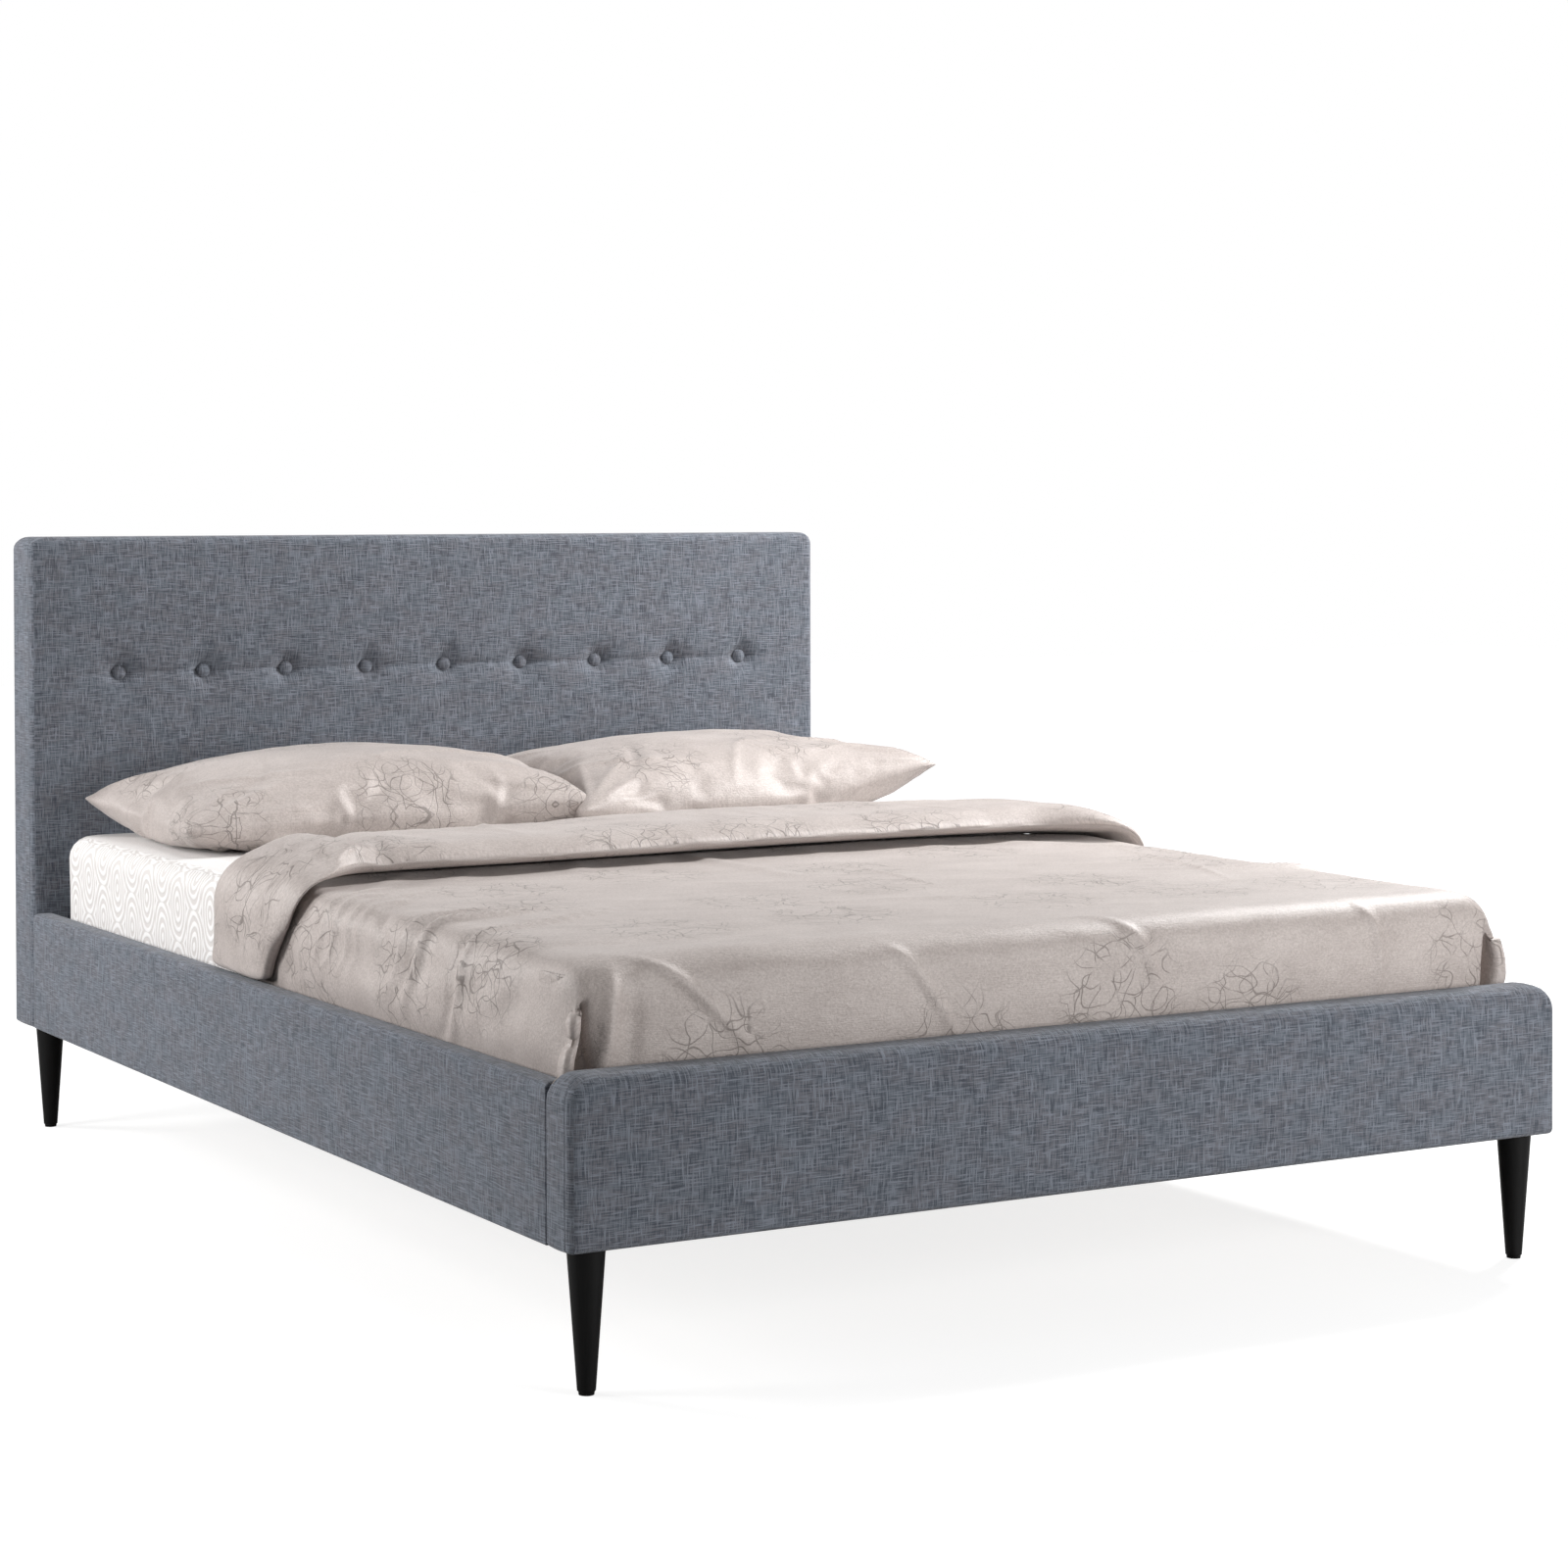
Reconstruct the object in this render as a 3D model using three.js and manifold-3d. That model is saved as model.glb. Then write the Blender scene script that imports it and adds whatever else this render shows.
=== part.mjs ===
// An upholstered platform bed for a queen-size mattress, in millimetres, +Z up.
// The origin is on the floor under the middle of the bed.
// +Y points to the head, and +X to the right of someone at the foot who looks at the headboard.
// Two padded boards and two covered side rails stand on tapered legs and carry a slatted base.
// The mattress, the duvet and the two pillows lie on that base.
import * as THREE from "three";
import { mergeVertices } from "three/addons/utils/BufferGeometryUtils.js";
import Module from "manifold-3d";

const wasm = await Module();
wasm.setup();

// Driving dimensions of the frame
const WIDTH = 1620;
const LENGTH = 2225;
const HEADBOARD_HEIGHT = 1060;
const FOOTBOARD_HEIGHT = 405;
const RAIL_TOP = 390;
const FRAME_BOTTOM = 185; // clear height under the frame, which is the legs' length
const HEADBOARD_DEPTH = 105;
const FOOTBOARD_DEPTH = 70;
const RAIL_DEPTH = 38;
const COVER = 2; // upholstery fabric with its lining
const GAP = 0.3; // between pieces that touch
const HALF_WIDTH = WIDTH / 2;
const HEAD_REAR = LENGTH / 2;
const HEAD_FRONT = HEAD_REAR - HEADBOARD_DEPTH;
const FOOT_FRONT = -LENGTH / 2;
const FOOT_REAR = FOOT_FRONT + FOOTBOARD_DEPTH;
const INNER_SIDE = HALF_WIDTH - RAIL_DEPTH; // x of a side rail's inner face
const RETURN = 45; // width of fabric turned in behind the headboard's edges
const BACK_CLOTH = 1;
const BACK_CLOTH_MARGIN = 14; // from the cloth's edge to the headboard's edge

// What fills the boards: layers from the front, and widths of the timber behind them
const HEADBOARD_FILL = { foam: 22, panel: 6, railSetback: 4, post: 62, topRail: 62, bottomRail: 82 };
const FOOTBOARD_FILL = { foam: 17, panel: 9, legBlock: 84, topRail: 54, bottomRail: 52 };

// Buttons of the headboard
const BUTTON_COUNT = 9;
const BUTTON_PITCH = 161;
const BUTTON_HEIGHT = 815;
const BUTTON_RADIUS = 13.5;
const BUTTON_THICKNESS = 9;
const DIMPLE_DEPTH = 14;
const DIMPLE_MOUTH = 34;
const DIMPLE_FLOOR = 15;
const TWINE_RADIUS = 2;
const TWINE_LENGTH = 26;
const TWINE_HOLE = TWINE_RADIUS + 0.5;

// Slatted base
const LEDGER_DEPTH = 28;
const LEDGER_TOP = 255;
const LEDGER_HEIGHT = 30;
const SLAT_COUNT = 11;
const SLAT_WIDTH = 95;
const SLAT_THICKNESS = 18;
const SLAT_HALF_LENGTH = INNER_SIDE - 6;
const FIRST_SLAT = -970;
const LAST_SLAT = 947;
const BEAM_WIDTH = 45;
const BEAM_BOTTOM = 190;
const LEDGER_END = 60; // from a ledger's end to the board
const PLATE = 3; // steel thickness of brackets and hangers
const BRACKET = { railLeaf: 52, boardLeaf: 42, bottom: 195, top: 290 };
const HANGER = { reach: 42, flange: 18, cheekHeight: 50, backHeight: 58 };

// Legs
const LEG_TOP_RADIUS = 25;
const LEG_FOOT_RADIUS = 12;
const LEG_X = 767;
const FRONT_LEG_Y = -1069;
const REAR_LEG_Y = 1047;
const STUD_RADIUS = 4;
const STUD_LENGTH = 40;
const STUD_HOLE = STUD_RADIUS + 0.4;
const CENTRE_LEG_SIZE = 45;
const CENTRE_LEGS = { front: -300, rear: 400 };
const LEVELLER_RADIUS = 22;
const LEVELLER_HEIGHT = 8;

// Bedding
const MATTRESS = { halfWidth: 760, front: -1026.5, rear: 1003.5, thickness: 255, edge: 38, corner: 60 };
const SLAT_TOP = LEDGER_TOP + GAP + SLAT_THICKNESS;
const MATTRESS_BOTTOM = SLAT_TOP + GAP;
const MATTRESS_TOP = MATTRESS_BOTTOM + MATTRESS.thickness;
const DUVET_THICKNESS = 18;
const DUVET_SIDE = 10; // the duvet is squeezed where it is tucked in
const TUCK_BOTTOM = 300; // lower edge of the tucked-in duvet
const CUFF = { hem: -110, fold: 200, hemBow: 50, foldBow: 145, bulge: 10, height: 26 };
const PILLOW = { halfLength: 362, halfDepth: 225, halfHeight: 70 };
const PILLOW_CENTRES = { left: [-336, 725], right: [398, 735] };

const SIDES = [["left", -1], ["right", 1]];
const ARC_STEPS = 4;
const FAR = 3000; // longer than anything in the bed, for cutting solids

const material = (color, roughness, metalness = 0) =>
  new THREE.MeshStandardMaterial({ color, roughness, metalness });
const MATERIALS = {
  greyLinen: material(0x6b727c, 0.95),
  blackCloth: material(0x1d1d1f, 0.95),
  foam: material(0xe6dcbd, 0.9),
  plywood: material(0xc9a672, 0.7),
  pine: material(0xd9b684, 0.65),
  blackWood: material(0x1b1b1c, 0.4),
  steel: material(0x3a3c40, 0.45, 0.9),
  plastic: material(0x1c1c1e, 0.5),
  ticking: material(0xe4e0de, 0.9),
  bedding: material(0xc4b8b0, 0.6),
};

const bed = new THREE.Group();

function solidOf(geometry) {
  const plain = geometry.clone();
  plain.deleteAttribute("normal");
  plain.deleteAttribute("uv");
  const merged = mergeVertices(plain, 1e-3);
  const vertProperties = new Float32Array(merged.attributes.position.array);
  const triVerts = new Uint32Array(merged.index.array);
  return new wasm.Manifold(new wasm.Mesh({ numProp: 3, vertProperties, triVerts }));
}

function geometryOf(solid) {
  const mesh = solid.getMesh();
  const geometry = new THREE.BufferGeometry();
  geometry.setAttribute("position", new THREE.BufferAttribute(mesh.vertProperties, 3));
  geometry.setIndex(new THREE.BufferAttribute(mesh.triVerts, 1));
  const flat = geometry.toNonIndexed();
  flat.computeVertexNormals();
  return flat;
}

function add(name, shape, surface) {
  const geometry = shape.isBufferGeometry ? shape : geometryOf(shape);
  const mesh = new THREE.Mesh(geometry, surface);
  mesh.name = name;
  bed.add(mesh);
  return mesh;
}

// A rectangle from (x0, y0) to (x1, y1). Its corner radii go anticlockwise from the lower left.
function roundedRectangle(x0, y0, x1, y1, [lowerLeft, lowerRight, upperRight, upperLeft]) {
  const shape = new THREE.Shape();
  const corner = (x, y, radius, turn) => {
    if (radius > 0) shape.absarc(x, y, radius, turn * (Math.PI / 2), (turn + 1) * (Math.PI / 2), false);
    else shape.lineTo(x, y);
  };
  shape.moveTo(x0 + lowerLeft, y0);
  shape.lineTo(x1 - lowerRight, y0);
  corner(x1 - lowerRight, y0 + lowerRight, lowerRight, 3);
  shape.lineTo(x1, y1 - upperRight);
  corner(x1 - upperRight, y1 - upperRight, upperRight, 0);
  shape.lineTo(x0 + upperLeft, y1);
  corner(x0 + upperLeft, y1 - upperLeft, upperLeft, 1);
  shape.lineTo(x0, y0 + lowerLeft);
  corner(x0 + lowerLeft, y0 + lowerLeft, lowerLeft, 2);
  return shape;
}

function extrude(shape, depth, basis) {
  const geometry = new THREE.ExtrudeGeometry(shape, { depth, bevelEnabled: false, curveSegments: ARC_STEPS });
  return geometry.applyMatrix4(basis);
}

// A shape drawn as (y, z), extruded from x0 to x1.
function extrudeAlongX(shape, x0, x1) {
  const axes = [new THREE.Vector3(0, 1, 0), new THREE.Vector3(0, 0, 1), new THREE.Vector3(1, 0, 0)];
  const basis = new THREE.Matrix4().makeBasis(...axes).setPosition(x0, 0, 0);
  return extrude(shape, x1 - x0, basis);
}

// A shape drawn as (x, z), extruded from y0 to y1.
function extrudeAlongY(shape, y0, y1) {
  const axes = [new THREE.Vector3(1, 0, 0), new THREE.Vector3(0, 0, 1), new THREE.Vector3(0, -1, 0)];
  const basis = new THREE.Matrix4().makeBasis(...axes).setPosition(0, y1, 0);
  return extrude(shape, y1 - y0, basis);
}

// A shape drawn as (x, y), extruded from z0 to z1.
function extrudeAlongZ(shape, z0, z1) {
  return extrude(shape, z1 - z0, new THREE.Matrix4().makeTranslation(0, 0, z0));
}

function block(x0, x1, y0, y1, z0, z1) {
  const geometry = new THREE.BoxGeometry(x1 - x0, y1 - y0, z1 - z0);
  return geometry.translate((x0 + x1) / 2, (y0 + y1) / 2, (z0 + z1) / 2);
}

const solidBlock = (...limits) => solidOf(block(...limits));

function solidPost(x, y, radius, z0, z1, sides = 12) {
  const geometry = new THREE.CylinderGeometry(radius, radius, z1 - z0, sides);
  return solidOf(geometry.rotateX(Math.PI / 2).translate(x, y, (z0 + z1) / 2));
}

// A padded board: a front outline with rounded upper corners, crossed with a soft-edged side profile.
// inset moves every face inwards, which gives the cavity of the cover and the outline of what fills it.
function boardSolid(board, inset) {
  const radius = (value) => Math.max(value - inset, 0.5);
  const [x0, x1] = [-HALF_WIDTH + inset, HALF_WIDTH - inset];
  const [y0, y1] = [board.front + inset, board.rear - inset];
  const [z0, z1] = [FRAME_BOTTOM + inset, board.top - inset];
  const upper = radius(board.upperCorner);
  const lower = radius(board.lowerCorner);
  const outline = roundedRectangle(x0, z0, x1, z1, [lower, lower, upper, upper]);
  const [soft, rear] = [radius(board.frontEdge), radius(board.rearEdge)];
  const profile = roundedRectangle(y0, z0, y1, z1, [radius(board.lowerEdge), lower, rear, soft]);
  return solidOf(extrudeAlongY(outline, y0, y1)).intersect(solidOf(extrudeAlongX(profile, x0, x1)));
}

// The two ends of an x range on one side of the bed, lower end first.
const span = (side, a, b) => [side * a, side * b].sort((m, n) => m - n);

// The holes for the studs of the two legs at one end of the bed.
function studHoles(y) {
  const [bottom, top] = [FRAME_BOTTOM - COVER, FRAME_BOTTOM + STUD_LENGTH + COVER];
  const [left, right] = SIDES.map(([, side]) => solidPost(side * LEG_X, y, STUD_HOLE, bottom, top));
  return left.add(right);
}

const HEADBOARD = {
  front: HEAD_FRONT,
  rear: HEAD_REAR - BACK_CLOTH - GAP,
  top: HEADBOARD_HEIGHT,
  upperCorner: 34,
  lowerCorner: 5,
  frontEdge: 20,
  lowerEdge: 14,
  rearEdge: 18,
};
const FOOTBOARD = {
  front: FOOT_FRONT,
  rear: FOOT_REAR,
  top: FOOTBOARD_HEIGHT,
  upperCorner: 36,
  lowerCorner: 6,
  frontEdge: 22,
  lowerEdge: 12,
  rearEdge: 16,
};

const buttonX = (index) => (index - (BUTTON_COUNT - 1) / 2) * BUTTON_PITCH;

// The dimples that the buttons pull into the headboard's front, grown by clearance.
// The twine's holes lead on from them towards the back.
function dimples(clearance) {
  const depth = DIMPLE_DEPTH + clearance;
  const cone = new THREE.CylinderGeometry(DIMPLE_FLOOR + clearance, DIMPLE_MOUTH + clearance, depth, 12);
  cone.translate(0, depth / 2, 0);
  const hole = new THREE.CylinderGeometry(TWINE_HOLE, TWINE_HOLE, HEADBOARD_DEPTH / 2, 6);
  hole.translate(0, HEADBOARD_DEPTH / 4, 0);
  const single = solidOf(cone).add(solidOf(hole));
  const copies = Array.from({ length: BUTTON_COUNT }, (_, index) =>
    single.translate(buttonX(index), HEAD_FRONT, BUTTON_HEIGHT),
  );
  return copies.reduce((all, one) => all.add(one));
}

function headboard() {
  const cavity = boardSolid(HEADBOARD, COVER);
  const filling = boardSolid(HEADBOARD, COVER + GAP);
  const inside = (...limits) => filling.intersect(solidBlock(...limits));
  const foamRear = HEAD_FRONT + HEADBOARD_FILL.foam;
  const panelRear = foamRear + GAP + HEADBOARD_FILL.panel;
  const timberFront = panelRear + GAP;
  const railFront = timberFront + HEADBOARD_FILL.railSetback;
  const postInner = HALF_WIDTH - HEADBOARD_FILL.post;
  const backOpening = solidBlock(
    -HALF_WIDTH + RETURN,
    HALF_WIDTH - RETURN,
    HEAD_REAR - HEADBOARD_DEPTH / 4,
    FAR,
    FRAME_BOTTOM + RETURN,
    HEADBOARD_HEIGHT - RETURN,
  );

  const outer = boardSolid(HEADBOARD, 0).subtract(dimples(0));
  const skin = outer.subtract(cavity.subtract(dimples(COVER))).subtract(backOpening);
  add("headboard_cover", skin.subtract(studHoles(REAR_LEG_Y)), MATERIALS.greyLinen);
  const foam = inside(-FAR, FAR, HEAD_FRONT, foamRear, 0, FAR).subtract(dimples(COVER + GAP));
  add("headboard_foam", foam, MATERIALS.foam);
  const panel = inside(-FAR, FAR, foamRear + GAP, panelRear, 0, FAR).subtract(dimples(0));
  add("headboard_panel", panel, MATERIALS.plywood);
  for (const [word, side] of SIDES) {
    const post = inside(...span(side, postInner, FAR), timberFront, FAR, 0, FAR);
    add(`headboard_post_${word}`, post.subtract(studHoles(REAR_LEG_Y)), MATERIALS.pine);
  }
  const railX = postInner - GAP;
  const topRailBottom = HEADBOARD_HEIGHT - HEADBOARD_FILL.topRail;
  add("headboard_top_rail", inside(-railX, railX, railFront, FAR, topRailBottom, FAR), MATERIALS.pine);
  const bottomRailTop = FRAME_BOTTOM + HEADBOARD_FILL.bottomRail;
  add("headboard_bottom_rail", inside(-railX, railX, railFront, FAR, 0, bottomRailTop), MATERIALS.pine);
  const clothX = HALF_WIDTH - BACK_CLOTH_MARGIN;
  const backCloth = block(
    -clothX,
    clothX,
    HEAD_REAR - BACK_CLOTH,
    HEAD_REAR,
    FRAME_BOTTOM + BACK_CLOTH_MARGIN,
    HEADBOARD_HEIGHT - HEADBOARD.rearEdge - BACK_CLOTH_MARGIN,
  );
  add("headboard_back_cloth", backCloth, MATERIALS.blackCloth);
}

// A covered button with a domed face, tied through the foam and the panel with twine.
function buttons() {
  const back = HEAD_FRONT + DIMPLE_DEPTH - GAP;
  const dome = 3.5;
  const profile = [
    [0, -TWINE_LENGTH],
    [TWINE_RADIUS, -TWINE_LENGTH],
    [TWINE_RADIUS, 0],
    [BUTTON_RADIUS - 1.5, 0],
    [BUTTON_RADIUS, 1.5],
    [BUTTON_RADIUS, BUTTON_THICKNESS - dome - 1],
    [BUTTON_RADIUS * 0.8, BUTTON_THICKNESS - dome * 0.4],
    [BUTTON_RADIUS * 0.42, BUTTON_THICKNESS - dome * 0.08],
    [0, BUTTON_THICKNESS],
  ].map(([radius, height]) => new THREE.Vector2(radius, height));
  for (let index = 0; index < BUTTON_COUNT; index += 1) {
    const geometry = new THREE.LatheGeometry(profile, 16).rotateX(Math.PI);
    const button = add(`headboard_button_${index + 1}`, geometry, MATERIALS.greyLinen);
    button.position.set(buttonX(index), back, BUTTON_HEIGHT);
  }
}

function footboard() {
  const cavity = boardSolid(FOOTBOARD, COVER);
  const filling = boardSolid(FOOTBOARD, COVER + GAP);
  const inside = (...limits) => filling.intersect(solidBlock(...limits));
  const foamRear = FOOT_FRONT + FOOTBOARD_FILL.foam;
  const panelRear = foamRear + GAP + FOOTBOARD_FILL.panel;
  const timberFront = panelRear + GAP;
  const blockInner = HALF_WIDTH - FOOTBOARD_FILL.legBlock;
  const openingX = blockInner - RETURN;
  const [openingFront, openingRear] = [FOOT_FRONT + FOOTBOARD.frontEdge, FOOT_REAR - FOOTBOARD.rearEdge];
  const bottomOpening = solidBlock(-openingX, openingX, openingFront, openingRear, 0, FRAME_BOTTOM + COVER);

  const skin = boardSolid(FOOTBOARD, 0).subtract(cavity).subtract(bottomOpening);
  add("footboard_cover", skin.subtract(studHoles(FRONT_LEG_Y)), MATERIALS.greyLinen);
  add("footboard_foam", inside(-FAR, FAR, -FAR, foamRear, 0, FAR), MATERIALS.foam);
  add("footboard_panel", inside(-FAR, FAR, foamRear + GAP, panelRear, 0, FAR), MATERIALS.plywood);
  for (const [word, side] of SIDES) {
    const legBlock = inside(...span(side, blockInner, FAR), timberFront, FAR, 0, FAR);
    add(`footboard_block_${word}`, legBlock.subtract(studHoles(FRONT_LEG_Y)), MATERIALS.pine);
  }
  const railX = blockInner - GAP;
  const topRailBottom = FOOTBOARD_HEIGHT - FOOTBOARD_FILL.topRail;
  add("footboard_top_rail", inside(-railX, railX, timberFront, FAR, topRailBottom, FAR), MATERIALS.pine);
  const bottomRailTop = FRAME_BOTTOM + FOOTBOARD_FILL.bottomRail;
  add("footboard_bottom_rail", inside(-railX, railX, timberFront, FAR, 0, bottomRailTop), MATERIALS.pine);
}

// A side rail: a plank in a fabric cover, and the ledger that carries the slats.
// The ledger is screwed to the plank through a slot in the cover.
function sideRail(word, side) {
  const [front, rear] = [FOOT_REAR + GAP, HEAD_FRONT - GAP];
  const [topRadius, bottomRadius, leastRadius] = [9, 4, 0.5];
  const outline = (inset) => {
    const top = Math.max(topRadius - inset, leastRadius);
    const bottom = Math.max(bottomRadius - inset, leastRadius);
    const [near, far] = span(side, INNER_SIDE + inset, HALF_WIDTH - inset);
    const [lower, upper] = [FRAME_BOTTOM + inset, RAIL_TOP - inset];
    const shape = roundedRectangle(near, lower, far, upper, [bottom, bottom, top, top]);
    return solidOf(extrudeAlongY(shape, front + inset, rear - inset));
  };
  const [ledgerFront, ledgerRear] = [FOOT_REAR + LEDGER_END, HEAD_FRONT - LEDGER_END];
  const ledgerBottom = LEDGER_TOP - LEDGER_HEIGHT;
  const slot = solidBlock(
    ...span(side, 0, INNER_SIDE + COVER + GAP / 2),
    ledgerFront - COVER,
    ledgerRear + COVER,
    ledgerBottom - COVER,
    LEDGER_TOP + COVER,
  );
  add(`side_rail_cover_${word}`, outline(0).subtract(outline(COVER)).subtract(slot), MATERIALS.greyLinen);
  add(`side_rail_plank_${word}`, outline(COVER + GAP), MATERIALS.plywood);
  const ledgerX = span(side, INNER_SIDE - LEDGER_DEPTH, INNER_SIDE + COVER);
  const ledger = block(...ledgerX, ledgerFront, ledgerRear, ledgerBottom, LEDGER_TOP);
  add(`slat_ledger_${word}`, ledger, MATERIALS.pine);
}

// A steel angle in each inside corner holds a side rail to a board.
function cornerBrackets() {
  const { railLeaf, boardLeaf, bottom, top } = BRACKET;
  const x = INNER_SIDE - GAP;
  const outline = new THREE.Shape();
  outline.moveTo(x, 0);
  outline.lineTo(x, railLeaf);
  outline.lineTo(x - PLATE, railLeaf);
  outline.lineTo(x - PLATE, PLATE);
  outline.lineTo(x - boardLeaf, PLATE);
  outline.lineTo(x - boardLeaf, 0);
  outline.closePath();
  for (const [word, side] of SIDES) {
    for (const [end, inwards, y] of [["front", 1, FOOT_REAR + GAP], ["rear", -1, HEAD_FRONT - GAP]]) {
      const angle = extrudeAlongZ(outline, bottom, top);
      const bracket = add(`corner_bracket_${end}_${word}`, angle, MATERIALS.steel);
      bracket.scale.set(side, inwards, 1);
      bracket.position.y = y;
    }
  }
}

// The beam hangs at both ends in a U of sheet steel that is screwed to the board.
function centreBeam() {
  const half = BEAM_WIDTH / 2;
  const endGap = PLATE + 2 * GAP;
  const beam = block(-half, half, FOOT_REAR + endGap, HEAD_FRONT - endGap, BEAM_BOTTOM, LEDGER_TOP);
  add("centre_beam", beam, MATERIALS.pine);
  const { reach, flange, cheekHeight, backHeight } = HANGER;
  const [inner, outer] = [half + GAP, half + GAP + PLATE];
  const floor = BEAM_BOTTOM - GAP - PLATE;
  const [cheekTop, backTop] = [BEAM_BOTTOM + cheekHeight, BEAM_BOTTOM + backHeight];
  const hanger = solidBlock(-half - flange, half + flange, 0, PLATE, floor, backTop)
    .add(solidBlock(-outer, outer, 0, reach, floor, floor + PLATE))
    .add(solidBlock(-outer, -inner, 0, reach, floor, cheekTop))
    .add(solidBlock(inner, outer, 0, reach, floor, cheekTop));
  add("beam_hanger_front", hanger, MATERIALS.steel).position.y = FOOT_REAR + GAP;
  const rear = add("beam_hanger_rear", hanger, MATERIALS.steel);
  rear.rotation.z = Math.PI;
  rear.position.y = HEAD_FRONT - GAP;
}

// A centre leg is a square post with a levelling foot, whose threaded stem turns in the leg's lower end.
function centreLegs() {
  const half = CENTRE_LEG_SIZE / 2;
  const stem = 30;
  const footProfile = [
    [0, 0],
    [LEVELLER_RADIUS - 1, 0],
    [LEVELLER_RADIUS, 1.5],
    [LEVELLER_RADIUS, LEVELLER_HEIGHT - 2],
    [LEVELLER_RADIUS - 3, LEVELLER_HEIGHT],
    [STUD_RADIUS, LEVELLER_HEIGHT],
    [STUD_RADIUS, LEVELLER_HEIGHT + stem],
    [0, LEVELLER_HEIGHT + stem],
  ].map(([radius, height]) => new THREE.Vector2(radius, height));
  for (const [word, y] of Object.entries(CENTRE_LEGS)) {
    const outline = roundedRectangle(-half, -half, half, half, [4, 4, 4, 4]);
    const post = solidOf(extrudeAlongZ(outline, LEVELLER_HEIGHT + GAP, BEAM_BOTTOM - GAP));
    const bore = solidPost(0, 0, STUD_HOLE, 0, LEVELLER_HEIGHT + stem + 4);
    add(`centre_leg_${word}`, post.subtract(bore), MATERIALS.blackWood).position.y = y;
    const foot = new THREE.LatheGeometry(footProfile, 24).rotateX(Math.PI / 2);
    add(`levelling_foot_${word}`, foot, MATERIALS.plastic).position.y = y;
  }
}

function slats() {
  const pitch = (LAST_SLAT - FIRST_SLAT) / (SLAT_COUNT - 1);
  const bottom = LEDGER_TOP + GAP;
  for (let index = 0; index < SLAT_COUNT; index += 1) {
    const y = FIRST_SLAT + index * pitch;
    const outline = roundedRectangle(-SLAT_WIDTH / 2, bottom, SLAT_WIDTH / 2, SLAT_TOP, [2, 2, 4, 4]);
    const slat = extrudeAlongX(outline, -SLAT_HALF_LENGTH, SLAT_HALF_LENGTH);
    const number = String(index + 1).padStart(2, "0");
    add(`slat_${number}`, slat, MATERIALS.pine).position.y = y;
  }
}

// A turned, tapered leg with the threaded stud that screws into the frame.
function legs() {
  const top = FRAME_BOTTOM - GAP;
  const profile = [
    [0, 0],
    [LEG_FOOT_RADIUS - 1.5, 0],
    [LEG_FOOT_RADIUS, 1.5],
    [LEG_TOP_RADIUS, top],
    [STUD_RADIUS, top],
    [STUD_RADIUS, top + STUD_LENGTH],
    [0, top + STUD_LENGTH],
  ].map(([radius, height]) => new THREE.Vector2(radius, height));
  for (const [word, side] of SIDES) {
    for (const [end, y] of [["front", FRONT_LEG_Y], ["rear", REAR_LEG_Y]]) {
      const turned = new THREE.LatheGeometry(profile, 24).rotateX(Math.PI / 2);
      add(`leg_${end}_${word}`, turned, MATERIALS.blackWood).position.set(side * LEG_X, y, 0);
    }
  }
}

// A block with rounded upper edges and rounded corners in plan.
function cushionBlock(halfWidth, front, rear, bottom, top, edge, corner) {
  const across = roundedRectangle(-halfWidth, bottom, halfWidth, top, [edge, edge, edge, edge]);
  const along = roundedRectangle(front, bottom, rear, top, [edge, edge, edge, edge]);
  const plan = roundedRectangle(-halfWidth, front, halfWidth, rear, [corner, corner, corner, corner]);
  return solidOf(extrudeAlongY(across, front, rear))
    .intersect(solidOf(extrudeAlongX(along, -halfWidth, halfWidth)))
    .intersect(solidOf(extrudeAlongZ(plan, bottom, top)));
}

function mattress() {
  const { halfWidth, front, rear, edge, corner } = MATTRESS;
  const body = cushionBlock(halfWidth, front, rear, MATTRESS_BOTTOM, MATTRESS_TOP, edge, corner);
  add("mattress", body, MATERIALS.ticking);
}

// A band across the bed between two curves that bow towards the head, as high as it needs to be for a cut.
function bowedBand(front, frontBow, rear, rearBow) {
  const plan = new THREE.Shape();
  plan.moveTo(-HALF_WIDTH, front);
  plan.quadraticCurveTo(0, front + 2 * frontBow, HALF_WIDTH, front);
  plan.lineTo(HALF_WIDTH, rear);
  plan.quadraticCurveTo(0, rear + 2 * rearBow, -HALF_WIDTH, rear);
  plan.closePath();
  return solidOf(extrude(plan, FAR, new THREE.Matrix4()));
}

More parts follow.
